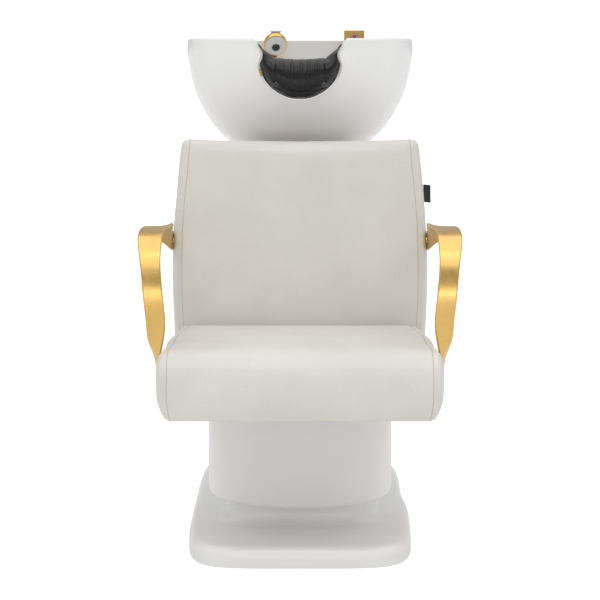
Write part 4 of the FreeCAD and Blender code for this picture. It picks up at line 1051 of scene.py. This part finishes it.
# ---------------------------------------------------------------- tag
def side_tag():
    """Plain folded woven tag sewn into the backrest's side seam; it carries no lettering."""
    lo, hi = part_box("side_tag")
    rows, columns = 14, 10
    height, width = hi.z - lo.z, hi.x - lo.x
    thick = 0.9 * MM
    fronts, backs = [], []
    for k in range(columns + 1):
        for i in range(rows + 1):
            across, up = k / columns, i / rows
            x = lo.x + width * across
            z = lo.z + height * (0.03 + 0.94 * up) - 1.5 * MM * across
            y = lo.y + (hi.y - lo.y) * up + 1.4 * MM * math.sin(2.4 * across) * math.sin(math.pi * up)
            fold = 1.0 - 0.5 * smooth_step(across, 0.85, 1.0)
            fronts.append(Vector((x, y - thick * fold, z)))
            backs.append(Vector((x, y + thick * fold, z)))
    points = fronts + backs
    half = len(fronts)
    stride = rows + 1
    faces = []
    for k in range(columns):
        for i in range(rows):
            a = k * stride + i
            faces.append((a, a + stride, a + stride + 1, a + 1))
            faces.append((half + a, half + a + 1, half + a + stride + 1, half + a + stride))
    edge = [k * stride for k in range(columns + 1)] + [columns * stride + i for i in range(1, stride)]
    edge += [k * stride + rows for k in range(columns - 1, -1, -1)] + [i for i in range(rows - 1, 0, -1)]
    for a, b in zip(edge, edge[1:] + edge[:1]):
        faces.append((b, a, half + a, half + b))
    tag = new_piece("side_tag_fabric", points, faces, MATERIALS["black_fabric"])
    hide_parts("side_tag")
    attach(tag, "root")


# ---------------------------------------------------------------- hoses
def spline_points(name, route):
    """Points along the smooth NURBS line that the route's points control."""
    curve = bpy.data.curves.new(name, "CURVE")
    curve.dimensions = "3D"
    curve.resolution_u = 10
    spline = curve.splines.new("NURBS")
    spline.points.add(len(route) - 1)
    for point, (x, y, z) in zip(spline.points, route):
        point.co = (x * MM, y * MM, z * MM, 1.0)
    spline.order_u = 3
    spline.use_endpoint_u = True
    holder = bpy.data.objects.new(name, curve)
    mesh = bpy.data.meshes.new_from_object(holder)
    points = [v.co.copy() for v in mesh.vertices]
    bpy.data.objects.remove(holder)
    return points


def hose_mesh(name, path, radius, material, rib=0.0, rib_pitch=1.0):
    """Tube along a path, with ribs where the hose is corrugated."""
    around = 20
    if rib:
        path = [Vector(p) for p in finer_path(path, rib_pitch / 6)]
    points, faces = [], []
    travelled = 0.0
    side = (path[1] - path[0]).orthogonal().normalized()
    for k, here in enumerate(path):
        before, after = path[max(k - 1, 0)], path[min(k + 1, len(path) - 1)]
        along = (after - before).normalized()
        side = (side - along * side.dot(along)).normalized()
        other = along.cross(side)
        travelled += (here - before).length
        girth = radius - rib * (0.5 - 0.5 * math.cos(2 * math.pi * travelled / rib_pitch))
        for i in range(around):
            turn = 2 * math.pi * i / around
            points.append(here + (side * math.cos(turn) + other * math.sin(turn)) * girth)
    for k in range(len(path) - 1):
        for i in range(around):
            a, b = k * around + i, k * around + (i + 1) % around
            faces.append((a, b, b + around, a + around))
    faces.append(tuple(reversed(range(around))))
    faces.append(tuple((len(path) - 1) * around + i for i in range(around)))
    return new_piece(name, points, faces, material)


def finer_path(path, step):
    line = np.array([tuple(p) for p in path])
    along = np.concatenate([[0], np.cumsum(np.linalg.norm(np.diff(line, axis=0), axis=1))])
    spots = np.linspace(0, along[-1], int(along[-1] / step))
    return np.stack([np.interp(spots, along, line[:, k]) for k in range(3)], axis=1)


DRAIN_ROUTE = [(-60, 262, 166), (-60, 262, 240), (-54, 286, 340), (-42, 304, 440), (-22, 336, 525),
               (-5, 388, 590), (0, 415, 648), (0, 415, 689.5)]
COLD_ROUTE = [(30, 268, 152), (30, 268, 210), (34, 275, 268), (38, 286, 330), (44, 298, 390), (50, 314, 450),
              (56, 334, 508), (62, 358, 564), (66, 388, 616), (68, 420, 664), (70, 459, 704), (74, 503, 744),
              (86, 537, 790), (119, 581, 840), (119, 581, 871.5)]
HOT_ROUTE = [(78, 268, 152), (78, 268, 210), (80, 275, 268), (81, 286, 330), (82, 298, 390), (83, 314, 450),
             (84, 334, 508), (85, 358, 564), (86, 388, 616), (86, 420, 664), (85, 459, 704), (89, 503, 744),
             (102, 537, 790), (135, 581, 840), (135, 581, 871.5)]
SHOWER_ROUTE = [(127, 594, 872), (127, 594, 846), (104, 584, 818), (62, 572, 802), (14, 565, 796),
                (-34, 567, 802), (-76, 576, 818), (-107.3, 594.4, 842.7), (-92.9, 591.4, 884.7)]


def fitted_hose(node, route, radius, material, rib=0.0, rib_pitch=1.0):
    """Hose between two fittings of the unit, a fixed tube along its route."""
    name = node.replace("hose", "pipe")
    path = spline_points(name, route)
    hose = hose_mesh(name, path, radius, material, rib, rib_pitch)
    length = sum((b - a).length for a, b in zip(path, path[1:]))
    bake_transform(hose)
    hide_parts(node)
    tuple(path[0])


def hoses():
    fitted_hose("drain_hose", DRAIN_ROUTE, 20 * MM, MATERIALS["waste_plastic"],
                1.6 * MM, 8 * MM)
    fitted_hose("cold_hose", COLD_ROUTE, 5 * MM, BRAID)
    fitted_hose("hot_hose", HOT_ROUTE, 5 * MM, BRAID)
    fitted_hose("shower_hose", SHOWER_ROUTE, 6 * MM, BRAID)


# ---------------------------------------------------------------- the whole unit
add_camera()
add_floor()
add_lights()
bpy.context.scene.view_settings.view_transform = "Standard"
dress_cad_nodes()
hoses()
seat_cushion()
back_cushion()
pad = neck_rest_pad()
pad_surface = BVHTree.FromObject(pad, bpy.context.evaluated_depsgraph_get())
neck_rest_flap(pad_surface)
neck_rest_snaps(pad_surface)
side_tag()
shower_face()
mixer_dot()
